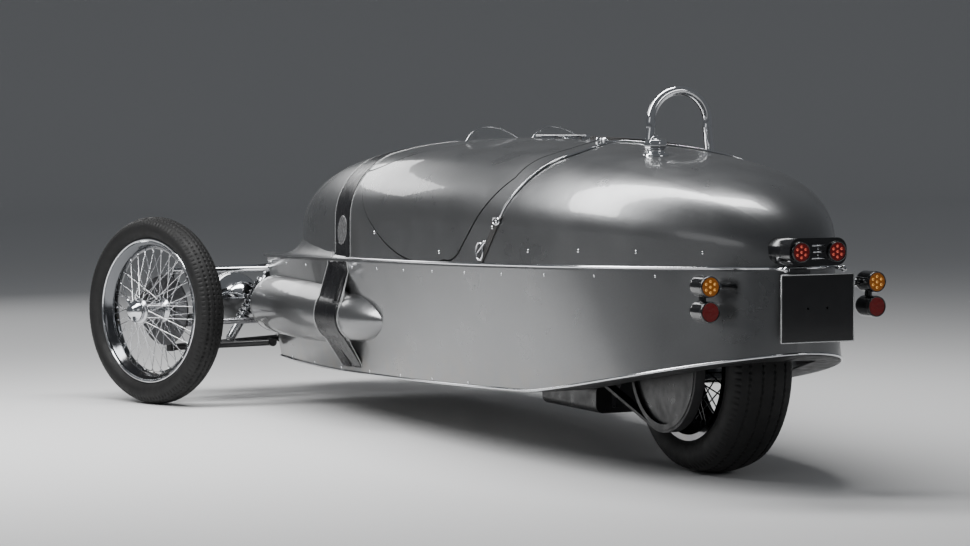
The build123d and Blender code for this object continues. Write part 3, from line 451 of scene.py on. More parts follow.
def taper(at, full_at, end_at, bend, blunt):
    """1 at full_at and 0 at end_at, along a superellipse: (1 - t^bend)^(1 / blunt)."""
    t = np.clip((at - full_at) / (end_at - full_at), 0, 1)
    return (1 - t ** bend) ** (1 / blunt)


def belt_z(at):
    return BELT_Z + BELT_SLOPE * at


def half_width(at):
    return HALF * np.where(at > WIDEST, taper(at, WIDEST, TAIL, *SIDE_TAIL),
                           taper(at, WIDEST, NOSE, *SIDE_NOSE))


def tub_half(at):
    return np.where(at > WIDEST, half_width(at), HALF * taper(at, WIDEST, TUB_NOSE, 5.0, 2.5))


def underside(at):
    """The floor's lower face: it rises slowly from 0.7 m on, then climbs to the tail."""
    run = np.clip((at - 0.7) / 1.43, 0, 1)
    climb = np.clip((at - 2.13) / 0.856, 0, None)
    return 0.165 + 0.047 * run ** 1.3 + 0.157 * climb ** 1.17


def foot_share(at):
    """Width at the floor over the width at the belt: the sides lean in, and flare out at the tail."""
    return 0.885 + 0.3 * (np.clip(at - 2.0, 0, None) / 0.986) ** 1.5


def skin(at, t, proud=0.0):
    """Point on the upper body: t runs along the section from the belt (0) to the crown (1), on the left side.

    The section is a line of length s, an arc of radius r and an arc of radius `top`; a distance
    along it picks the piece, and `proud` moves the point out along that piece's normal.
    """
    at, t = np.broadcast_arrays(np.asarray(at, float), np.asarray(t, float))
    w = half_width(at)
    h = RISE * np.where(at > CREST, taper(at, CREST, TAIL, *TOP_TAIL), taper(at, CREST, NOSE, *TOP_NOSE))
    s = np.maximum(0.334 * h, h - 0.95 * w)
    r = np.minimum(0.873 * (h - s), 0.8 * w)
    top = ((w - r) ** 2 + (h - s) ** 2 - r ** 2) / (2 * (h - s - r))
    turn = np.arctan2(w - r, top - (h - s))
    side, shoulder = s, r * (np.pi / 2 - turn)
    run = t * (side + shoulder + top * turn)
    on_arc, on_top = run > side, run > side + shoulder
    angle = np.where(on_top, turn - (run - side - shoulder) / top, np.pi / 2 - (run - side) / r)
    angle = np.where(on_arc, angle, np.pi / 2)
    x = np.where(on_top, top * np.sin(angle), np.where(on_arc, w - r + r * np.sin(angle), w))
    z = np.where(on_top, h - top + top * np.cos(angle), np.where(on_arc, s + r * np.cos(angle), run))
    x, z = x + proud * np.sin(angle), z + proud * np.cos(angle) + belt_z(at)
    return np.stack([x, at + AXLE_Y, z], axis=-1)


def across_skin(at, t, proud=0.0):
    """As skin, with t from -1 (right belt) over the crown (0) to 1 (left belt)."""
    point = skin(at, 1 - np.abs(t), proud)
    point[..., 0] *= np.sign(np.broadcast_to(t, point.shape[:-1]))
    return point


def tub_skin(at, t, proud=0.0, side=1):
    """Point on the tub's side: t from the belt (0) to the floor's edge (1), where the width is foot_share."""
    at, t = np.broadcast_arrays(np.asarray(at, float), np.asarray(t, float))
    x = side * (tub_half(at) * (1 + (foot_share(at) - 1) * t) + proud)
    z = (belt_z(at) - 0.008) * (1 - t) + underside(at) * t
    return np.stack([x, at + AXLE_Y, z], axis=-1)


print("crown over the seats:", skin(1.6, 1.0).round(3), "shoulder:", skin(1.6, 0.4).round(3))


# %% Helpers that carry a profile along a path
def unit(rows):
    """Vectors scaled to length 1."""
    return rows / np.linalg.norm(rows, axis=1, keepdims=True)


def ring_angles(count):
    """Even steps once round a circle."""
    return np.linspace(0, 2 * np.pi, count, endpoint=False)


def right_too(left, shared=1):
    """Line along the left side that goes on along the right one; they share that many points."""
    return np.concatenate([left, (left[::-1] * [-1, 1, 1])[shared:]])


def solid(piece, thickness, offset=-1.0):
    """Gives an open surface a wall."""
    wall = piece.modifiers.new("wall", "SOLIDIFY")
    wall.thickness, wall.offset = thickness, offset
    return piece


def outward(piece):
    """Turns every face of a closed mesh outwards."""
    mesh = bmesh.new()
    mesh.from_mesh(piece.data)
    bmesh.ops.remove_doubles(mesh, verts=mesh.verts, dist=1e-6)
    bmesh.ops.recalc_face_normals(mesh, faces=mesh.faces)
    mesh.to_mesh(piece.data)
    mesh.free()
    return piece


def dressed(piece, material, body="body"):
    """Puts the finish on a piece, turns its faces outwards and lets it ride on a CAD body."""
    if not piece.modifiers:
        outward(piece)
    piece.data.materials.append(material)
    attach(piece, body)
    return piece


def tube(name, path, radius, sides=10, closed=False, up=(0, 0, 1)):
    """Round bar along a path: each ring is centre + r (cos a . n + sin a . b), n and b normal to the path."""
    path = np.asarray(path, float)
    ahead = np.gradient(path, axis=0) if not closed else np.roll(path, -1, 0) - np.roll(path, 1, 0)
    ahead = unit(ahead)
    normal = unit(np.cross(ahead, np.asarray(up, float)))
    other = np.cross(normal, ahead)
    angle = ring_angles(sides)
    size = np.broadcast_to(np.asarray(radius, float), (len(path),))[:, None, None]
    ring = np.cos(angle)[None, :, None] * normal[:, None] + np.sin(angle)[None, :, None] * other[:, None]
    grid = path[:, None] + size * ring
    if not closed:
        grid = np.concatenate([path[:1, None].repeat(sides, 1), grid, path[-1:, None].repeat(sides, 1)])
    return surface(name, grid, closed_u=closed, closed_v=True)


def joined_mesh(name, vertices, faces):
    """One mesh from stacked copies: vertices[copy, vertex, xyz] and one copy's faces."""
    copies, count = vertices.shape[:2]
    index = (np.asarray(faces)[None] + (np.arange(copies) * count)[:, None, None]).reshape(-1, len(faces[0]))
    mesh = bpy.data.meshes.new(name)
    mesh.from_pydata(vertices.reshape(-1, 3), [], index.tolist())
    mesh.polygons.foreach_set("use_smooth", np.ones(len(index), bool))
    made = bpy.data.objects.new(name, mesh)
    bpy.context.collection.objects.link(made)
    return made


def domes(name, centres, normals, radius, height, sides=10, rings=3):
    """Flat domes: radius cos e, height sin e, with e from 0 to a right angle. One normal may serve all."""
    centres = np.asarray(centres, float)
    normals = unit(np.broadcast_to(np.asarray(normals, float), centres.shape))
    helper = np.where(np.abs(normals[:, 2:3]) > 0.9, [[1.0, 0, 0]], [[0, 0, 1.0]])
    first = unit(np.cross(helper, normals))
    second = np.cross(normals, first)
    e, a = np.meshgrid(np.linspace(0, np.pi / 2, rings + 1)[:-1], np.arange(sides) * 2 * np.pi / sides,
                       indexing="ij")
    ring = np.stack([np.cos(e) * np.cos(a) * radius, np.cos(e) * np.sin(a) * radius, np.sin(e) * height], -1)
    local = np.concatenate([ring.reshape(-1, 3), [[0, 0, height]]])
    vertices = (centres[:, None] + local[None, :, :1] * first[:, None] + local[None, :, 1:2] * second[:, None]
                + local[None, :, 2:] * normals[:, None])
    faces = [[k * sides + i, k * sides + (i + 1) % sides, (k + 1) * sides + (i + 1) % sides,
              (k + 1) * sides + i] for k in range(rings - 1) for i in range(sides)]
    last, tip = (rings - 1) * sides, rings * sides
    faces += [[last + i, last + (i + 1) % sides, tip, tip] for i in range(sides)]
    made = joined_mesh(name, vertices, faces)
    made.data.validate()
    return made


def merged(name, pieces):
    """Several pieces as one object."""
    with bpy.context.temp_override(active_object=pieces[0], selected_editable_objects=pieces):
        bpy.ops.object.join()
    pieces[0].name = name
    return pieces[0]


print("steps round a six-sided bar:", ring_angles(6).round(2))


# %% Lay a strip on the real skin
def loose_copy(name, names):
    """Copy of several CAD nodes as one mesh, to lay thin pieces on; it is removed again at the end."""
    copies = [bpy.data.objects.new(name, nodes[label].data.copy()) for label in names]
    for copy in copies:
        bpy.context.collection.objects.link(copy)
    return merged(name, copies)


def laid(piece, proud):
    """Moves each point of a strip to the nearest painted panel, `proud` above it."""
    wrap = piece.modifiers.new("lay", "SHRINKWRAP")
    wrap.target, wrap.wrap_mode, wrap.offset = painted, "ABOVE_SURFACE", proud
    with bpy.context.temp_override(object=piece, active_object=piece):
        bpy.ops.object.modifier_apply(modifier=wrap.name)
    return piece


painted = loose_copy("painted_skin", ["scuttle", "rear_deck", "passenger_cover", "tub", "side_pods"])
print("painted skin:", len(painted.data.polygons), "faces")

# %% [markdown]
# ## Beads, stripes and screws
# A bright bead covers the joint between the two body halves and runs round the tail, another
# edges the floor. A broad black stripe with a light pinstripe on each side goes right over the
# car behind the front wheels. They are thin, so CAD leaves them out, but they draw the body's
# lines from a step away.

# %% Beads along the belt and the floor's edge
bend = np.sin(np.linspace(0, np.pi / 2, 60))
run = 0.88 + (TAIL - 0.0004 - 0.88) * bend
left = np.stack([half_width(run) + 0.003, run + AXLE_Y, belt_z(run) + 0.001], -1)
belt_bead = dressed(tube("belt_bead", right_too(left), 0.0042), chrome)
run = 0.175 + (TAIL - 0.0012 - 0.175) * bend
left = np.stack([tub_half(run) * foot_share(run) + 0.002, run + AXLE_Y, underside(run) + 0.004], -1)
floor_bead = dressed(tube("floor_bead", right_too(left, 0), 0.0038), chrome)
print("beads:", belt_bead.name, floor_bead.name)

# %% Black stripe and pinstripes over the car
STRIPE, HALF_STRIPE, RAKE = 0.879, 0.0775, 0.042


def band_over(name, start, stop, material, proud):
    """Strip of skin between two places along the car, from belt to belt, and down both sides of the tub."""
    run = np.linspace(start, stop, max(3, round((stop - start) / 0.01)))[:, None]
    t = np.linspace(-1, 1, 121)[None, :]
    rake = RAKE * np.clip((np.abs(t) - 0.15) / 0.4, 0, 1) ** 1.5
    top = surface(name, across_skin(run + rake, t, 0.004))
    dressed(solid(laid(top, proud), 0.002, 0.0), material)
    for side in (-1, 1):
        grid = tub_skin(run + RAKE, np.linspace(0.01, 0.99, 31)[None, :], 0.12, side)
        label = name + ("_left" if side > 0 else "_right")
        dressed(solid(laid(surface(label, grid), proud), 0.002, 0.0), material)


band_over("stripe", STRIPE - HALF_STRIPE, STRIPE + HALF_STRIPE, stripe_black, 0.0006)
for label, way in (("front_pinstripe", -1), ("rear_pinstripe", 1)):
    middle = STRIPE + way * (HALF_STRIPE + 0.005)
    band_over(label, middle - 0.0012, middle + 0.0012, stripe_light, 0.0006)
u, v = np.meshgrid(np.linspace(0, 1, 9), ring_angles(48), indexing="ij")
for side, label in ((1, "left"), (-1, "right")):
    oval = skin(STRIPE + RAKE + 0.050 * u * np.cos(v) + 0.010 * u * np.sin(v),
                0.128 + 0.066 * u * np.sin(v), 0.006)
    oval[..., 0] *= side
    dressed(solid(laid(surface("blank_oval_" + label, oval, closed_v=True), 0.0018), 0.002, 0.0), oval_grey)
print("stripe at", STRIPE, "m behind the front axle")

# %% Screws above and below the belt, and along the floor's edge
def on_both_sides(points, normal):
    """Points and normals of the left side, with their mirror images."""
    points = np.asarray(points, float)
    normals = np.broadcast_to(np.asarray(normal, float), points.shape)
    flip = np.array([-1, 1, 1])
    return np.concatenate([points, points * flip]), np.concatenate([normals, normals * flip])


deck_row = skin(np.array([2.20, 2.415, 2.62, 2.81]), np.array([0.065, 0.078, 0.09, 0.125]), 0.0005)
lid_row = skin(np.array([1.229, 1.708]), np.array([0.118, 0.045]), 0.0005)
tub_row = tub_skin(np.arange(0.22, 2.8, 0.205), 0.05)
floor_row = tub_skin(np.arange(0.335, 1.95, 0.2425), 0.965)
screw_rows = [(deck_row, (0.97, 0.1, 0.2), 0.0055), (lid_row, (1, 0, 0), 0.006), (tub_row, (1, 0, 0), 0.0045),
              (floor_row, (1, 0, -0.12), 0.004)]
heads = []
for points, normal, size in screw_rows:
    places, facing = on_both_sides(points, normal)
    heads.append(domes("heads", places, facing, size, size * 0.55))
dressed(merged("panel_screws", heads), chrome)
print("screw heads:", sum(2 * len(row[0]) for row in screw_rows))

# %% Black sheet of painted shade beneath the tail, beside and behind the wheel bay
BAY_RIGHT, BAY_LEFT, BAY_END, BAY_BACK, BAY_TAPER = 0.205, 0.238, 0.112, 2.864, 2.540
run = 2.14 + 0.843 * np.sin(np.linspace(0, np.pi / 2, 90))[:, None]
share = np.linspace(0, 1, 13)[None, :]
# Each satin black sheet is painted shade: it darkens the tail's underside, which lies in deep shadow.
for label, side, bay_side in (("left", 1, BAY_LEFT), ("right", -1, BAY_RIGHT)):
    bay = np.interp(run, [BAY_TAPER, BAY_BACK, BAY_BACK + 0.01], [bay_side + 0.003, BAY_END + 0.003, 0.0])
    outer = np.clip(tub_half(run) * foot_share(run) - 0.002, 0, None)
    x = side * (outer * (1 - share) + np.minimum(bay, outer) * share)
    sheet = np.stack(np.broadcast_arrays(x, run + AXLE_Y, underside(run) - 0.0012), -1)
    dressed(solid(surface("painted_shade_sheet_" + label, sheet), 0.001, 0.0), satin_black)
print("painted_shade_sheet ends", round(float(run.max()), 3), "m behind the front axle")

# %% [markdown]
# ## Tyres with their tread
# The solid tyre is smooth. The real ones have straight ribs with toothed edges, which show because
# the camera looks along the tread. A turned surface whose radius dips by a groove's depth wherever
# a point lies near a line, and further off at every tooth, gives real grooves without cutting.

# %% Where the wheels stand
STEER, CAMBER = math.radians(21.7), math.radians(1.1)
FRONT_RADIUS, REAR_RADIUS, WHEELBASE = 0.332, 0.311, 2.5
PIVOT_X, PIVOT_AT, WHEEL_OUT = 0.74, -0.026, 0.071      # a front wheel stands 71 mm outside its pivot


def wheel_frame(side):
    """Centre, outward axis, upward and forward unit vectors of a wheel: side 1, -1, or 0 for the rear one."""
    if side == 0:
        axis, centre = np.array([1.0, 0, 0]), np.array([0, WHEELBASE + AXLE_Y, REAR_RADIUS])
    else:
        axis = np.array([side * math.cos(STEER) * math.cos(CAMBER), side * math.sin(STEER) * math.cos(CAMBER),
                         math.sin(CAMBER)])
        centre = np.array([side * PIVOT_X + WHEEL_OUT * axis[0], PIVOT_AT + AXLE_Y + WHEEL_OUT * axis[1],
                           FRONT_RADIUS])
    up = np.array([0, 0, 1.0]) - axis[2] * axis
    up /= np.linalg.norm(up)
    return centre, axis, up, np.cross(axis, up)


def in_wheel(side, radius, angle, along):
    """Point of a wheel: centre + radius (cos a . up + sin a . forward) + along . axis."""
    centre, axis, up, forward = wheel_frame(side)
    radius, angle, along = np.broadcast_arrays(radius, angle, along)
    return (centre + radius[..., None] * (np.cos(angle)[..., None] * up + np.sin(angle)[..., None] * forward)
            + along[..., None] * axis)


def turned(name, side, profile, steps=96, closed=True):
    """Surface turned round a wheel's axis from a profile of (radius, along) points."""
    profile = np.asarray(profile, float)
    angle = ring_angles(steps)
    grid = in_wheel(side, profile[None, :, 0], angle[:, None], profile[None, :, 1])
    if side < 0:
        grid = grid[::-1]
    return surface(name, grid, closed_u=True, closed_v=closed)


print("left wheel centre:", wheel_frame(1)[0].round(4))


# %% Tyre surface with toothed grooves
def arc_through(a, b, c, count):
    """Points on the circle through a, b and c, from a to c: the circle's centre solves two bisectors."""
    a, b, c = (np.asarray(p, float) for p in (a, b, c))
    centre = np.linalg.solve(2 * np.stack([b - a, c - a]), [b @ b - a @ a, c @ c - a @ a])
    radius = np.linalg.norm(a - centre)
    first, mid, last = (math.atan2(*(p - centre)[::-1]) for p in (a, b, c))
    mid = first + (mid - first + math.pi) % (2 * math.pi) - math.pi
    last = mid + (last - mid + math.pi) % (2 * math.pi) - math.pi
    angle = np.linspace(first, last, count)
    return centre + radius * np.stack([np.cos(angle), np.sin(angle)], -1)


def treaded_tyre(name, side, radius, width, bead, seat, lines, periods, grain):
    """Tyre whose crown dips 5 mm wherever a point lies nearer to a line than a toothed half width."""
    half, wall = width / 2, bead + (radius - bead) * 0.52
    inner = arc_through((bead + 0.014, -seat), (wall, -half), (radius - 0.016, -half * 0.82), 12)
    crown = arc_through((radius - 0.016, -half * 0.82), (radius, 0), (radius - 0.016, half * 0.82), grain)
    outer = inner[::-1] * [1, -1]
    profile = np.concatenate([[(bead, -seat)], inner[:-1], crown, outer[1:], [(bead, seat)]])
    angle = ring_angles(periods * 8)
    saw = 2 * np.abs((angle * periods / (2 * np.pi)) % 1 - 0.5) - 0.5
    lines = np.asarray(lines)[None, None, :] * half
    away = np.abs(profile[None, :, 1, None] - lines).min(-1)
    tooth = np.where(saw > 0.0, 0.0042, 0.0012)[:, None]
    groove = np.clip((tooth - away) / 0.0006, 0, 1)
    notch = (np.abs(profile[:, 1]) > 0.80 * half) & (profile[:, 0] > radius - 0.022)
    cut = np.where(notch[None, :] & (saw[:, None] > 0.1), 0.0035, 0.0)
    on_crown = profile[:, 0] > radius - 0.0165
    dip = np.maximum(np.where(on_crown[None, :], 0.005 * groove, 0.0), cut)
    grid = in_wheel(side, profile[None, :, 0] - dip, angle[:, None], profile[None, :, 1])
    return surface(name, grid[::-1] if side < 0 else grid, closed_u=True, closed_v=True)


front_size, rear_size = (FRONT_RADIUS, 0.104, 0.243, 0.0319), (REAR_RADIUS, 0.196, 0.205, 0.0819)
tyres = [                    # name, side, (radius, width, bead, seat), teeth, points across, body, node
    ("front_tread_left", 1, front_size, 120, 73, "front_wheel_left", "tyre_left"),
    ("front_tread_right", -1, front_size, 120, 73, "front_wheel_right", "tyre_right"),
    ("rear_tread", 0, rear_size, 104, 121, "rear_wheel", "rear_tyre"),
]
groove_lines = (-0.56, -0.19, 0.19, 0.56)
for name, side, size, periods, count, body, node in tyres:
    tyre = dressed(treaded_tyre(name, side, *size, groove_lines, periods, count), rubber, body)
    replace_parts(tyre, node)
    print(name, len(tyre.data.polygons), "faces")

# %% [markdown]
# ## Wire wheels
# The wheel is drawn again here: a rolled rim with a drop centre, a hub with two flanges, and
# sixty thin spokes laced so that they cross, with a nipple where each meets the rim and a
# knock-off cap.

# %% Spokes, nipples and caps
def spokes(name, side, hub, rim, hub_at, rim_at, count, radius, lead):
    """Crossed spokes: each is a six-sided bar from hub (r, a, in or out) to rim (r, a + lead, +-rim_at)."""
    index = np.arange(count)
    flange = np.where(index % 2 == 0, 1.0, -1.0)
    hub_place = np.where(index % 2 == 0, hub_at[1], hub_at[0])
    twist = np.where((index // 2) % 2 == 0, lead, -lead)
    angle = 2 * np.pi * index / count
    start = in_wheel(side, np.full(count, hub), angle, hub_place)
    stop = in_wheel(side, np.full(count, rim), angle + twist, flange * rim_at)
    run = unit(stop - start)
    first = unit(np.cross(run, wheel_frame(side)[1]))
    second = np.cross(run, first)
    a = np.arange(6) * np.pi / 3
    ring = radius * (np.cos(a)[None, :, None] * first[:, None] + np.sin(a)[None, :, None] * second[:, None])
    vertices = np.concatenate([start[:, None] + ring, stop[:, None] + ring], axis=1)
    faces = [[i, (i + 1) % 6, 6 + (i + 1) % 6, 6 + i] for i in range(6)]
    return joined_mesh(name, vertices, faces), stop, -run


rim_half = np.array([        # radius, along the axle
    (0.2180, 0), (0.2188, -0.009), (0.2215, -0.014), (0.2260, -0.019), (0.2320, -0.027), (0.2380, -0.033),
    (0.2440, -0.0352), (0.2520, -0.0366), (0.2550, -0.0362), (0.2556, -0.034), (0.2530, -0.0322),
    (0.2429, -0.0318), (0.2380, -0.029), (0.2330, -0.021), (0.2275, -0.015), (0.2235, -0.0095), (0.2215, 0)])
rim_profile = np.concatenate([rim_half, rim_half[-2:0:-1] * [1, -1]])
lip_profile = [(0.2440, 0.0353), (0.2515, 0.0367), (0.2552, 0.0366), (0.2564, 0.0342), (0.2557, 0.0338),
               (0.2500, 0.0345)]
HUB_OUT = 0.042              # the hub stands out of the rim on its outer side
hub_profile = [
    (0, -0.037), (0.036, -0.037), (0.0455, -0.035), (0.0462, -0.030), (0.044, -0.027), (0.034, -0.024),
    (0.030, -0.012), (0.030, HUB_OUT + 0.012), (0.034, HUB_OUT + 0.024), (0.044, HUB_OUT + 0.027),
    (0.0462, HUB_OUT + 0.030), (0.0455, HUB_OUT + 0.035), (0.036, HUB_OUT + 0.037), (0.030, HUB_OUT + 0.040),
    (0, HUB_OUT + 0.040)]
cap_profile = [(radius, along + HUB_OUT) for radius, along in (
    (0, 0.038), (0.036, 0.038), (0.039, 0.045), (0.038, 0.054), (0.033, 0.060), (0.026, 0.063),
    (0.022, 0.070), (0.014, 0.075), (0, 0.076))]
SPOKES = 60
for side, label in ((1, "left"), (-1, "right")):
    body = "front_wheel_" + label
    rim = dressed(turned("rim_" + label, side, rim_profile, 128), dark_metal, body)
    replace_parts(rim, "wheel_" + label)
    dressed(turned("rim_lip_" + label, side, lip_profile, 128), chrome, body)
    dressed(turned("hub_" + label, side, hub_profile, 64, closed=False), alloy, body)
    laced, tips, inward = spokes("spokes_" + label, side, 0.042, 0.2192, (-0.031, HUB_OUT + 0.031),
                                 0.006, SPOKES, 0.0014, 0.42)
    dressed(laced, chrome, body)
    dressed(domes("nipples_" + label, tips, inward, 0.0032, 0.011, sides=6, rings=2), chrome, body)
    cap = [turned("knock_off_" + label, side, cap_profile, 48, closed=False)]
    for turn_of_ear in np.arange(2) * np.pi + 0.5:
        reach = np.linspace(0.012, 0.050, 7)
        path = in_wheel(side, reach, np.full(7, turn_of_ear), HUB_OUT + 0.060 + 0.008 * (reach / 0.05))
        cap.append(tube("ear", path, np.interp(reach, [0.012, 0.04, 0.05], [0.008, 0.006, 0.0035]), 8,
                        up=wheel_frame(side)[1]))
    dressed(merged("knock_off_" + label, cap), chrome, body)
print("spokes per wheel:", SPOKES)

# %% Drilled discs, their holes drawn as flat black spots of painted shade, and calipers
for side, label in ((1, "left"), (-1, "right")):
    row, ring = np.meshgrid(np.arange(24), np.arange(3), indexing="ij")
    angle = (row * 15 + ring * 5) * np.pi / 180
    holes = in_wheel(side, 0.085 + 0.014 * ring, angle, np.full(angle.shape, -0.0471)).reshape(-1, 3)
    # The holes are not cut: each is a flat black dome, painted shade where the hole would look dark.
    dressed(domes("painted_shade_disc_holes_" + label, holes, -wheel_frame(side)[1], 0.0035, 0.0003, rings=2),
            satin_black, "front_wheel_" + label)
    arc = np.linspace(1.1, 1.9, 12)
    section = np.array([(0.088, -0.066), (0.134, -0.066), (0.142, -0.056), (0.142, -0.032), (0.134, -0.026),
                        (0.088, -0.026), (0.088, -0.034), (0.130, -0.036), (0.130, -0.052), (0.088, -0.054)])
    grid = in_wheel(side, section[None, :, 0], arc[:, None], section[None, :, 1])
    grid = np.concatenate([grid.mean(1, keepdims=True)[:1].repeat(len(section), 1), grid,
                           grid.mean(1, keepdims=True)[-1:].repeat(len(section), 1)])
    dressed(surface("caliper_" + label, grid, closed_v=True), satin_black, "steer_" + label)
print("discs drilled, calipers on the steering bodies")

# %% Coil springs round the dampers
DAMPER_AT, DAMPER_LOW, DAMPER_HIGH = 0.018, (0.530, 0.2267), (0.3876, 0.4507)


def coil(side, turns=8, wire=0.0042, radius=0.0222):
    """Helix round the damper's axis: low + t (high - low) + radius (cos a . n + sin a . b)."""
    low = np.array([side * DAMPER_LOW[0], DAMPER_AT + AXLE_Y, DAMPER_LOW[1]])
    high = np.array([side * DAMPER_HIGH[0], DAMPER_AT + AXLE_Y, DAMPER_HIGH[1]])
    axis = (high - low) / np.linalg.norm(high - low)
    first = np.array([0, 1.0, 0])
    second = np.cross(axis, first)
    angle = np.linspace(0, 2 * np.pi * turns, turns * 24)[:, None]
    share = np.linspace(0.27, 0.85, turns * 24)[:, None]
    path = low + share * (high - low) + radius * (np.cos(angle) * first + np.sin(angle) * second)
    return tube("coil", path, wire, 8, up=axis)


springs = dressed(merged("spring_coils", [coil(1), coil(-1)]), dark_metal)
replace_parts(springs, "springs")
print("coil springs:", len(springs.data.polygons), "faces")

# %% [markdown]
# ## Cabin
# The seats are sewn hide over foam, with upright channels. A cushion is a crowned sheet: its
# height falls off towards the edges and dips at each seam. The hand wheel is bound in hide, and
# its stitching is a fine thread that winds sixty times round the rim.

# %% Seat cushions with sewn channels
def cushion(name, x, width, corners, thick, channels):
    """Crowned pad on a slanted base: thick . (1 - u^6)^.5 . (1 - v^6)^.5, less a dip at each seam."""
    u, v = np.meshgrid(np.linspace(-1, 1, 97), np.linspace(-1, 1, 49), indexing="ij")
    (at_0, z_0), (at_1, z_1) = corners
    run = np.array([0, at_1 - at_0, z_1 - z_0])
    length = np.linalg.norm(run)
    out = np.cross([1.0, 0, 0], run / length)
    crown = (1 - np.abs(u) ** 6) ** 0.5 * (1 - np.abs(v) ** 6) ** 0.5
    seam = np.abs(((u + 1) / 2 * channels) % 1 - 0.5) * 2
    puff = 0.72 + 0.28 * (1 - seam ** 4)
    centre = np.array([x, (at_0 + at_1) / 2 + AXLE_Y, (z_0 + z_1) / 2])
    flat = centre + u[..., None] * np.array([width / 2, 0, 0]) + v[..., None] * run / 2
    top = flat + (thick * crown * puff)[..., None] * out
    low = flat - (0.012 * crown)[..., None] * out
    made = surface(name, np.concatenate([top, low[:, ::-1]], axis=1), closed_v=True)
    return dressed(made, seat_hide)


for x, label in ((-0.205, "driver"), (0.205, "passenger")):
    seat = cushion("cushion_" + label, x, 0.312, ((1.447, 0.372), (1.895, 0.334)), 0.042, 6)
    back = cushion("back_" + label, x, 0.312, ((1.905, 0.390), (2.004, 0.800)), 0.040, 6)
print("seats: two cushions and two backs")

# %% Hand wheel and dials
COLUMN = np.array([0, math.cos(math.radians(20)), math.sin(math.radians(20))])
HAND = np.array([-0.205, 1.405 + AXLE_Y, 0.715])
HAND_RADIUS, WINDS, THREAD_OUT = 0.166, 60, 0.0112


def round_hand(angle):
    """Unit vectors from the hand wheel's centre towards its rim."""
    return np.stack([np.cos(angle), -COLUMN[2] * np.sin(angle), COLUMN[1] * np.sin(angle)], -1)


circle = HAND + HAND_RADIUS * round_hand(ring_angles(96))
dressed(tube("hand_rim", circle, 0.0105, 14, closed=True, up=COLUMN), rim_hide, "hand_wheel")
twist = np.linspace(0, 2 * np.pi * WINDS, WINDS * 8)
wrap = (HAND + (HAND_RADIUS + THREAD_OUT * np.cos(twist))[:, None] * round_hand(twist / WINDS)
        + (THREAD_OUT * np.sin(twist))[:, None] * COLUMN)
dressed(tube("rim_stitching", wrap, 0.0007, 4), seat_hide, "hand_wheel")
dials = []
for x, z, radius in ((-0.205, 0.80, 0.05), (-0.31, 0.785, 0.032), (-0.10, 0.80, 0.032), (0.0, 0.81, 0.032)):
    a = ring_angles(48)
    ring = np.array([x, 1.273 + AXLE_Y, z]) + radius * np.stack([np.cos(a), 0 * a, np.sin(a)], -1)
    dials.append(tube("bezel", ring, 0.004, 10, closed=True, up=(0, 1, 0)))
dressed(merged("dial_bezels", dials), chrome)
print("hand wheel and dials in place")

# %% [markdown]
# ## Nose, lamps and plate
# In front, upright brass fins cool the case. The headlamps have a bright rim round rippled glass
# and a seam round the shell. At the back, the lamp bar carries two round lamps, the plate is
# blank and has a thin silver edge.

# %% Brass fins over the nose case
fin_x = np.linspace(-0.205, 0.205, 24)
corner = np.array([(-0.222, 0.232), (-0.262, 0.245), (-0.2785, 0.30), (-0.2785, 0.42), (-0.262, 0.47),
                   (-0.222, 0.484)])
half = 0.0016
ring = np.concatenate([np.stack([np.full(6, -half), corner[:, 0] + AXLE_Y, corner[:, 1]], -1),
                       np.stack([np.full(6, half), corner[:, 0] + AXLE_Y, corner[:, 1]], -1)])
fins = ring[None] + np.stack([fin_x, 0 * fin_x, 0 * fin_x], -1)[:, None]
quads = [[i, i + 1, i + 7, i + 6] for i in range(5)] + [[0, 6, 11, 5], [0, 5, 4, 1], [1, 4, 3, 2],
                                                         [6, 7, 10, 11], [7, 8, 9, 10]]
dressed(joined_mesh("nose_fins", fins, quads), brass)
print("fins:", len(fin_x))


# %% Round things that face along the car
def round_piece(name, x, z, profile, steps=64, closed=False):
    """Turned about a line along Y: point = (x + r cos a, at, z + r sin a) for each (r, at) of the profile."""
    profile = np.asarray(profile, float)
    a = ring_angles(steps)[:, None]
    r, at = profile[None, :, 0], profile[None, :, 1]
    grid = np.stack([x + r * np.cos(a), at + AXLE_Y + 0 * a, z + r * np.sin(a)], -1)
    return surface(name, grid, closed_u=True, closed_v=closed)


LAMP_X, LAMP_Z = 0.442, 0.361
bezel = [(0.078, -0.222), (0.086, -0.221), (0.0905, -0.213), (0.0905, -0.196), (0.0875, -0.193),
         (0.0865, -0.205), (0.078, -0.212)]
rims = [round_piece("rim", side * LAMP_X, LAMP_Z, bezel, closed=True) for side in (-1, 1)]
dressed(merged("lamp_rims", rims), chrome)
back = arc_through((0.0885, -0.203), (0.0625, -0.105), (0, -0.0665), 16)
back = np.concatenate([back, back[-2::-1] * [-1, 1]])
seams = []
for side in (-1, 1):
    path = np.stack([side * LAMP_X + back[:, 0], back[:, 1] + AXLE_Y, np.full(len(back), LAMP_Z)], -1)
    seams.append(tube("seam", path, 0.0018, 8))
dressed(merged("lamp_seams", seams), dark_metal)
print("lamp rims and seams done")
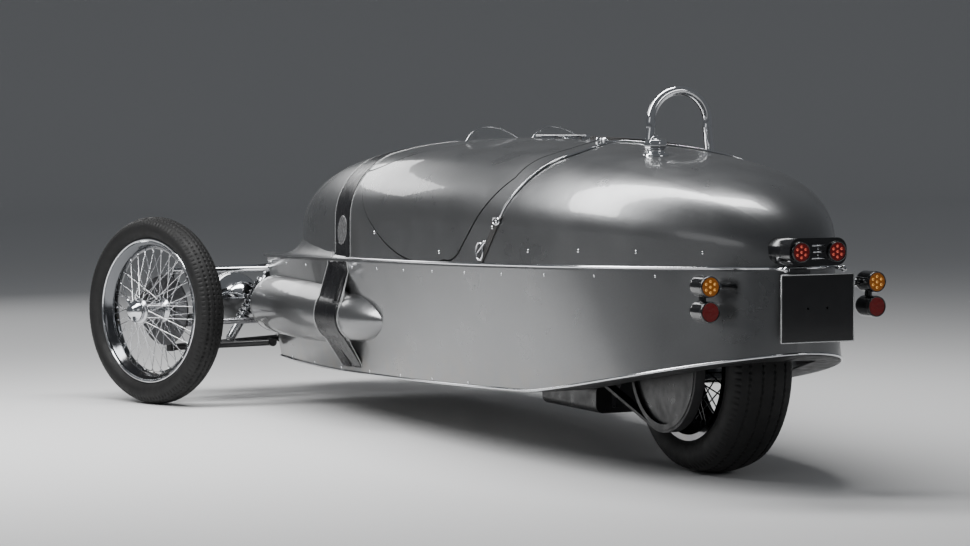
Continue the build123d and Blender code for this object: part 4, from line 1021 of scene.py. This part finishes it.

# %% Rims of the tail lamps and indicators, with the dots behind their lenses, which glow faintly as a painted highlight
INDICATOR_X, INDICATOR_Z, PLATE_Z = 0.262, 0.555, 0.498
ring_rows = [                # half distance apart, z, lens radius, place of the lens's face, dots
    (0.056, 0.647, 0.024, 3.057, red_led_painted_glow),
    (INDICATOR_X, INDICATOR_Z, 0.025, 2.938, amber_led_painted_glow),
    (INDICATOR_X, 0.488, 0.025, 2.938, None),
]
rings = []
for row, (x, z, radius, face, dots) in enumerate(ring_rows):
    spots = []
    for side in (-1, 1):
        profile = [(radius + 0.0003, face - 0.008), (radius + 0.0003, face + 0.001),
                   (radius + 0.0014, face + 0.0022), (radius + 0.003, face + 0.0014),
                   (radius + 0.0045, face - 0.008)]
        rings.append(round_piece("ring", side * x, z, profile, 48, True))
        turn = np.append(np.arange(6) * np.pi / 3 + np.pi / 6, 0)
        out = np.append(np.full(6, radius * 0.6), 0)
        centres = np.stack([side * x + out * np.cos(turn), np.full(7, face + AXLE_Y - 0.0002),
                            z + out * np.sin(turn)], -1)
        if dots:
            spots.append(domes("dots", centres, (0, 1, 0), 0.0038, 0.0022))
    if dots:
        dressed(merged("lamp_dots_%d" % row, spots), dots)
dressed(merged("lens_rims", rings), gloss_black)
print("lamp rims:", 2 * len(ring_rows))

# %% The bar's trim, its bolts and the plate's thin edge
bar_rows = [(0.664, 0.0205), (0.647, 0.0165), (0.630, 0.0205)]
trim = [tube("bar", [[-half, 3.0505 + AXLE_Y, z], [half, 3.0505 + AXLE_Y, z]], 0.0024, 8, up=(0, 1, 0))
        for z, half in bar_rows]
screws = np.array([(0.0, 3.0498 + AXLE_Y, 0.6555), (0.0, 3.0498 + AXLE_Y, 0.6385)])
trim.append(domes("bar", screws, (0, 1, 0), 0.0032, 0.002))
dressed(merged("lamp_bar_trim", trim), alloy)
knobs = []
for side in (-1, 1):
    end = np.array([side * 0.089, 3.040 + AXLE_Y, 0.6005])
    knobs.append(tube("knob", np.stack([end - [0, 0.085, 0], end]), 0.0045, 10))
    knobs.append(domes("knob", end[None] - [0, 0.004, 0], (0, 1, 0), 0.0085, 0.0085, 16, 5))
    stem, run = [side * INDICATOR_X, 2.896 + AXLE_Y, INDICATOR_Z], [-side * 0.142, -0.016, -0.006]
    collar = np.array(stem) + np.array([[0.394], [0.28]]) * run
    knobs.append(tube("knob", collar, 0.0115, 16))
dressed(merged("stay_bolts", knobs), chrome)
edge_x, edge_z = 0.1128, 0.0893
corners = np.array([(-1, -1), (1, -1), (1, 1), (-1, 1), (-1, -1)]) * [edge_x, edge_z]
corners = np.stack([corners[:, 0], np.full(5, 3.0494 + AXLE_Y), corners[:, 1] + PLATE_Z], -1)
strips = [tube("edge", corners[k:k + 2], 0.0017, 8, up=(0, 1, 0)) for k in range(4)]
dressed(merged("plate_edge", strips), stripe_light)
print("bar and plate trimmed")

# %% [markdown]
# ## Deck
# The two small screens stand in a thin bright frame. A leather strap with a buckle on each side
# holds the rear deck down, a bright wire follows the deck's front edge, and the filler cap has
# eight sides.

# %% Screen frames
for side, label in ((1, "left"), (-1, "right")):
    a = np.linspace(-1, 1, 33)
    x = side * 0.115 + 0.1 * a
    y = 1.290 + 0.045 * a ** 2 + AXLE_Y
    z = 0.848 + np.sqrt(np.clip(0.130 ** 2 - (0.1 * a) ** 2, 0, None)) + 0.001
    dressed(tube("screen_frame_" + label, np.stack([x, y - 0.002, z], -1), 0.0018, 8, up=(0, 1, 0)), chrome)
print("screens framed")


# %% Eight-sided filler cap
CAP_X, CAP_AT = 0.080, 2.320
cap_rows = np.array([        # radius, z, how far the ring is drawn to an octagon
    (0.0, 0.884, 0), (0.035, 0.884, 0), (0.037, 0.892, 0), (0.0365, 0.898, 0), (0.033, 0.901, 0),
    (0.0255, 0.903, 0), (0.0255, 0.913, 0), (0.03, 0.915, 1), (0.0335, 0.918, 1), (0.034, 0.926, 1),
    (0.034, 0.934, 1), (0.0315, 0.9385, 1), (0.027, 0.94, 1), (0.024, 0.9395, 0.5), (0.02, 0.942, 0),
    (0.012, 0.946, 0), (0.0, 0.9475, 0)])
a = ring_angles(96)[:, None]
octagon = math.cos(math.pi / 8) / np.cos((a + 0.2) % (math.pi / 4) - math.pi / 8)
reach = cap_rows[None, :, 0] * (1 + cap_rows[None, :, 2] * (octagon - 1))
grid = np.stack([CAP_X + reach * np.cos(a), CAP_AT + AXLE_Y + reach * np.sin(a),
                 cap_rows[None, :, 1] + 0 * a], -1)
cap_parts = [surface("filler", grid, closed_u=True)]
ridge = np.array([[-0.026, 0], [-0.013, 0], [0.013, 0], [0.026, 0]]) @ [[0.8, 0.6], [-0.6, 0.8]]
ridge = np.stack([CAP_X + ridge[:, 0], CAP_AT + AXLE_Y + ridge[:, 1], [0.941, 0.949, 0.949, 0.941]], -1)
cap_parts.append(tube("filler", ridge, 0.004, 10))
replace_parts(dressed(merged("filler_detail", cap_parts), chrome), "filler_cap")
print("filler cap done")


# %% Bright wire along the deck's front edge, with the buckle and the catch
wire_t = np.linspace(0.20, 1.0, 60)
wire_at = np.interp(wire_t, [0.195, 0.30, 0.40, 0.511, 0.62, 0.70, 0.78, 0.857, 0.93, 1.0],
                    [2.056, 2.105, 2.138, 2.150, 2.135, 2.110, 2.075, 2.035, 1.985, 1.940])
wire_at = np.convolve(np.pad(wire_at, 4, mode="edge"), np.ones(9) / 9, mode="valid")
left = skin(wire_at, wire_t, 0.003)
dressed(tube("deck_wire", right_too(left), 0.0035, 8), chrome)
for side, label in ((1, "left"), (-1, "right")):
    a = ring_angles(32)
    ring = skin(1.962 + 0.019 * np.cos(a), 0.055 + 0.036 * np.sin(a), 0.006) * [side, 1, 1]
    plate = skin(2.050 + 0.017 * np.cos(a), 0.185 + 0.014 * np.sin(a), 0.006) * [side, 1, 1]
    tongue = skin(np.linspace(1.955, 2.0, 6), np.linspace(0.05, 0.1, 6), 0.008) * [side, 1, 1]
    pieces = [tube("buckle", ring, 0.003, 8, closed=True, up=(1, 0, 0)),
              tube("buckle", plate, 0.0025, 8, closed=True, up=(1, 0, 0)),
              tube("buckle", tongue, 0.0022, 8, up=(1, 0, 0))]
    studs = skin(np.array([2.050, 2.030, 1.985]), np.array([0.185, 0.158, 0.094]), 0.005) * [side, 1, 1]
    pieces.append(domes("buckle", studs, (side, 0, 0), 0.0055, 0.004))
    dressed(merged("buckle_" + label, pieces), chrome)
catch = skin(np.array([1.895, 1.925, 1.945]), 0.95, 0.006)
catch_parts = [tube("catch", catch, np.array([0.006, 0.009, 0.004]), 10),
               domes("catch", skin(np.array([1.915]), np.array([0.93]), 0.004), (0.1, 0, 1), 0.008, 0.012)]
dressed(merged("lid_catch", catch_parts), chrome)
print("wire, buckles and catch on")

# %% Remove the loose copy of the painted skin
bpy.data.objects.remove(painted)
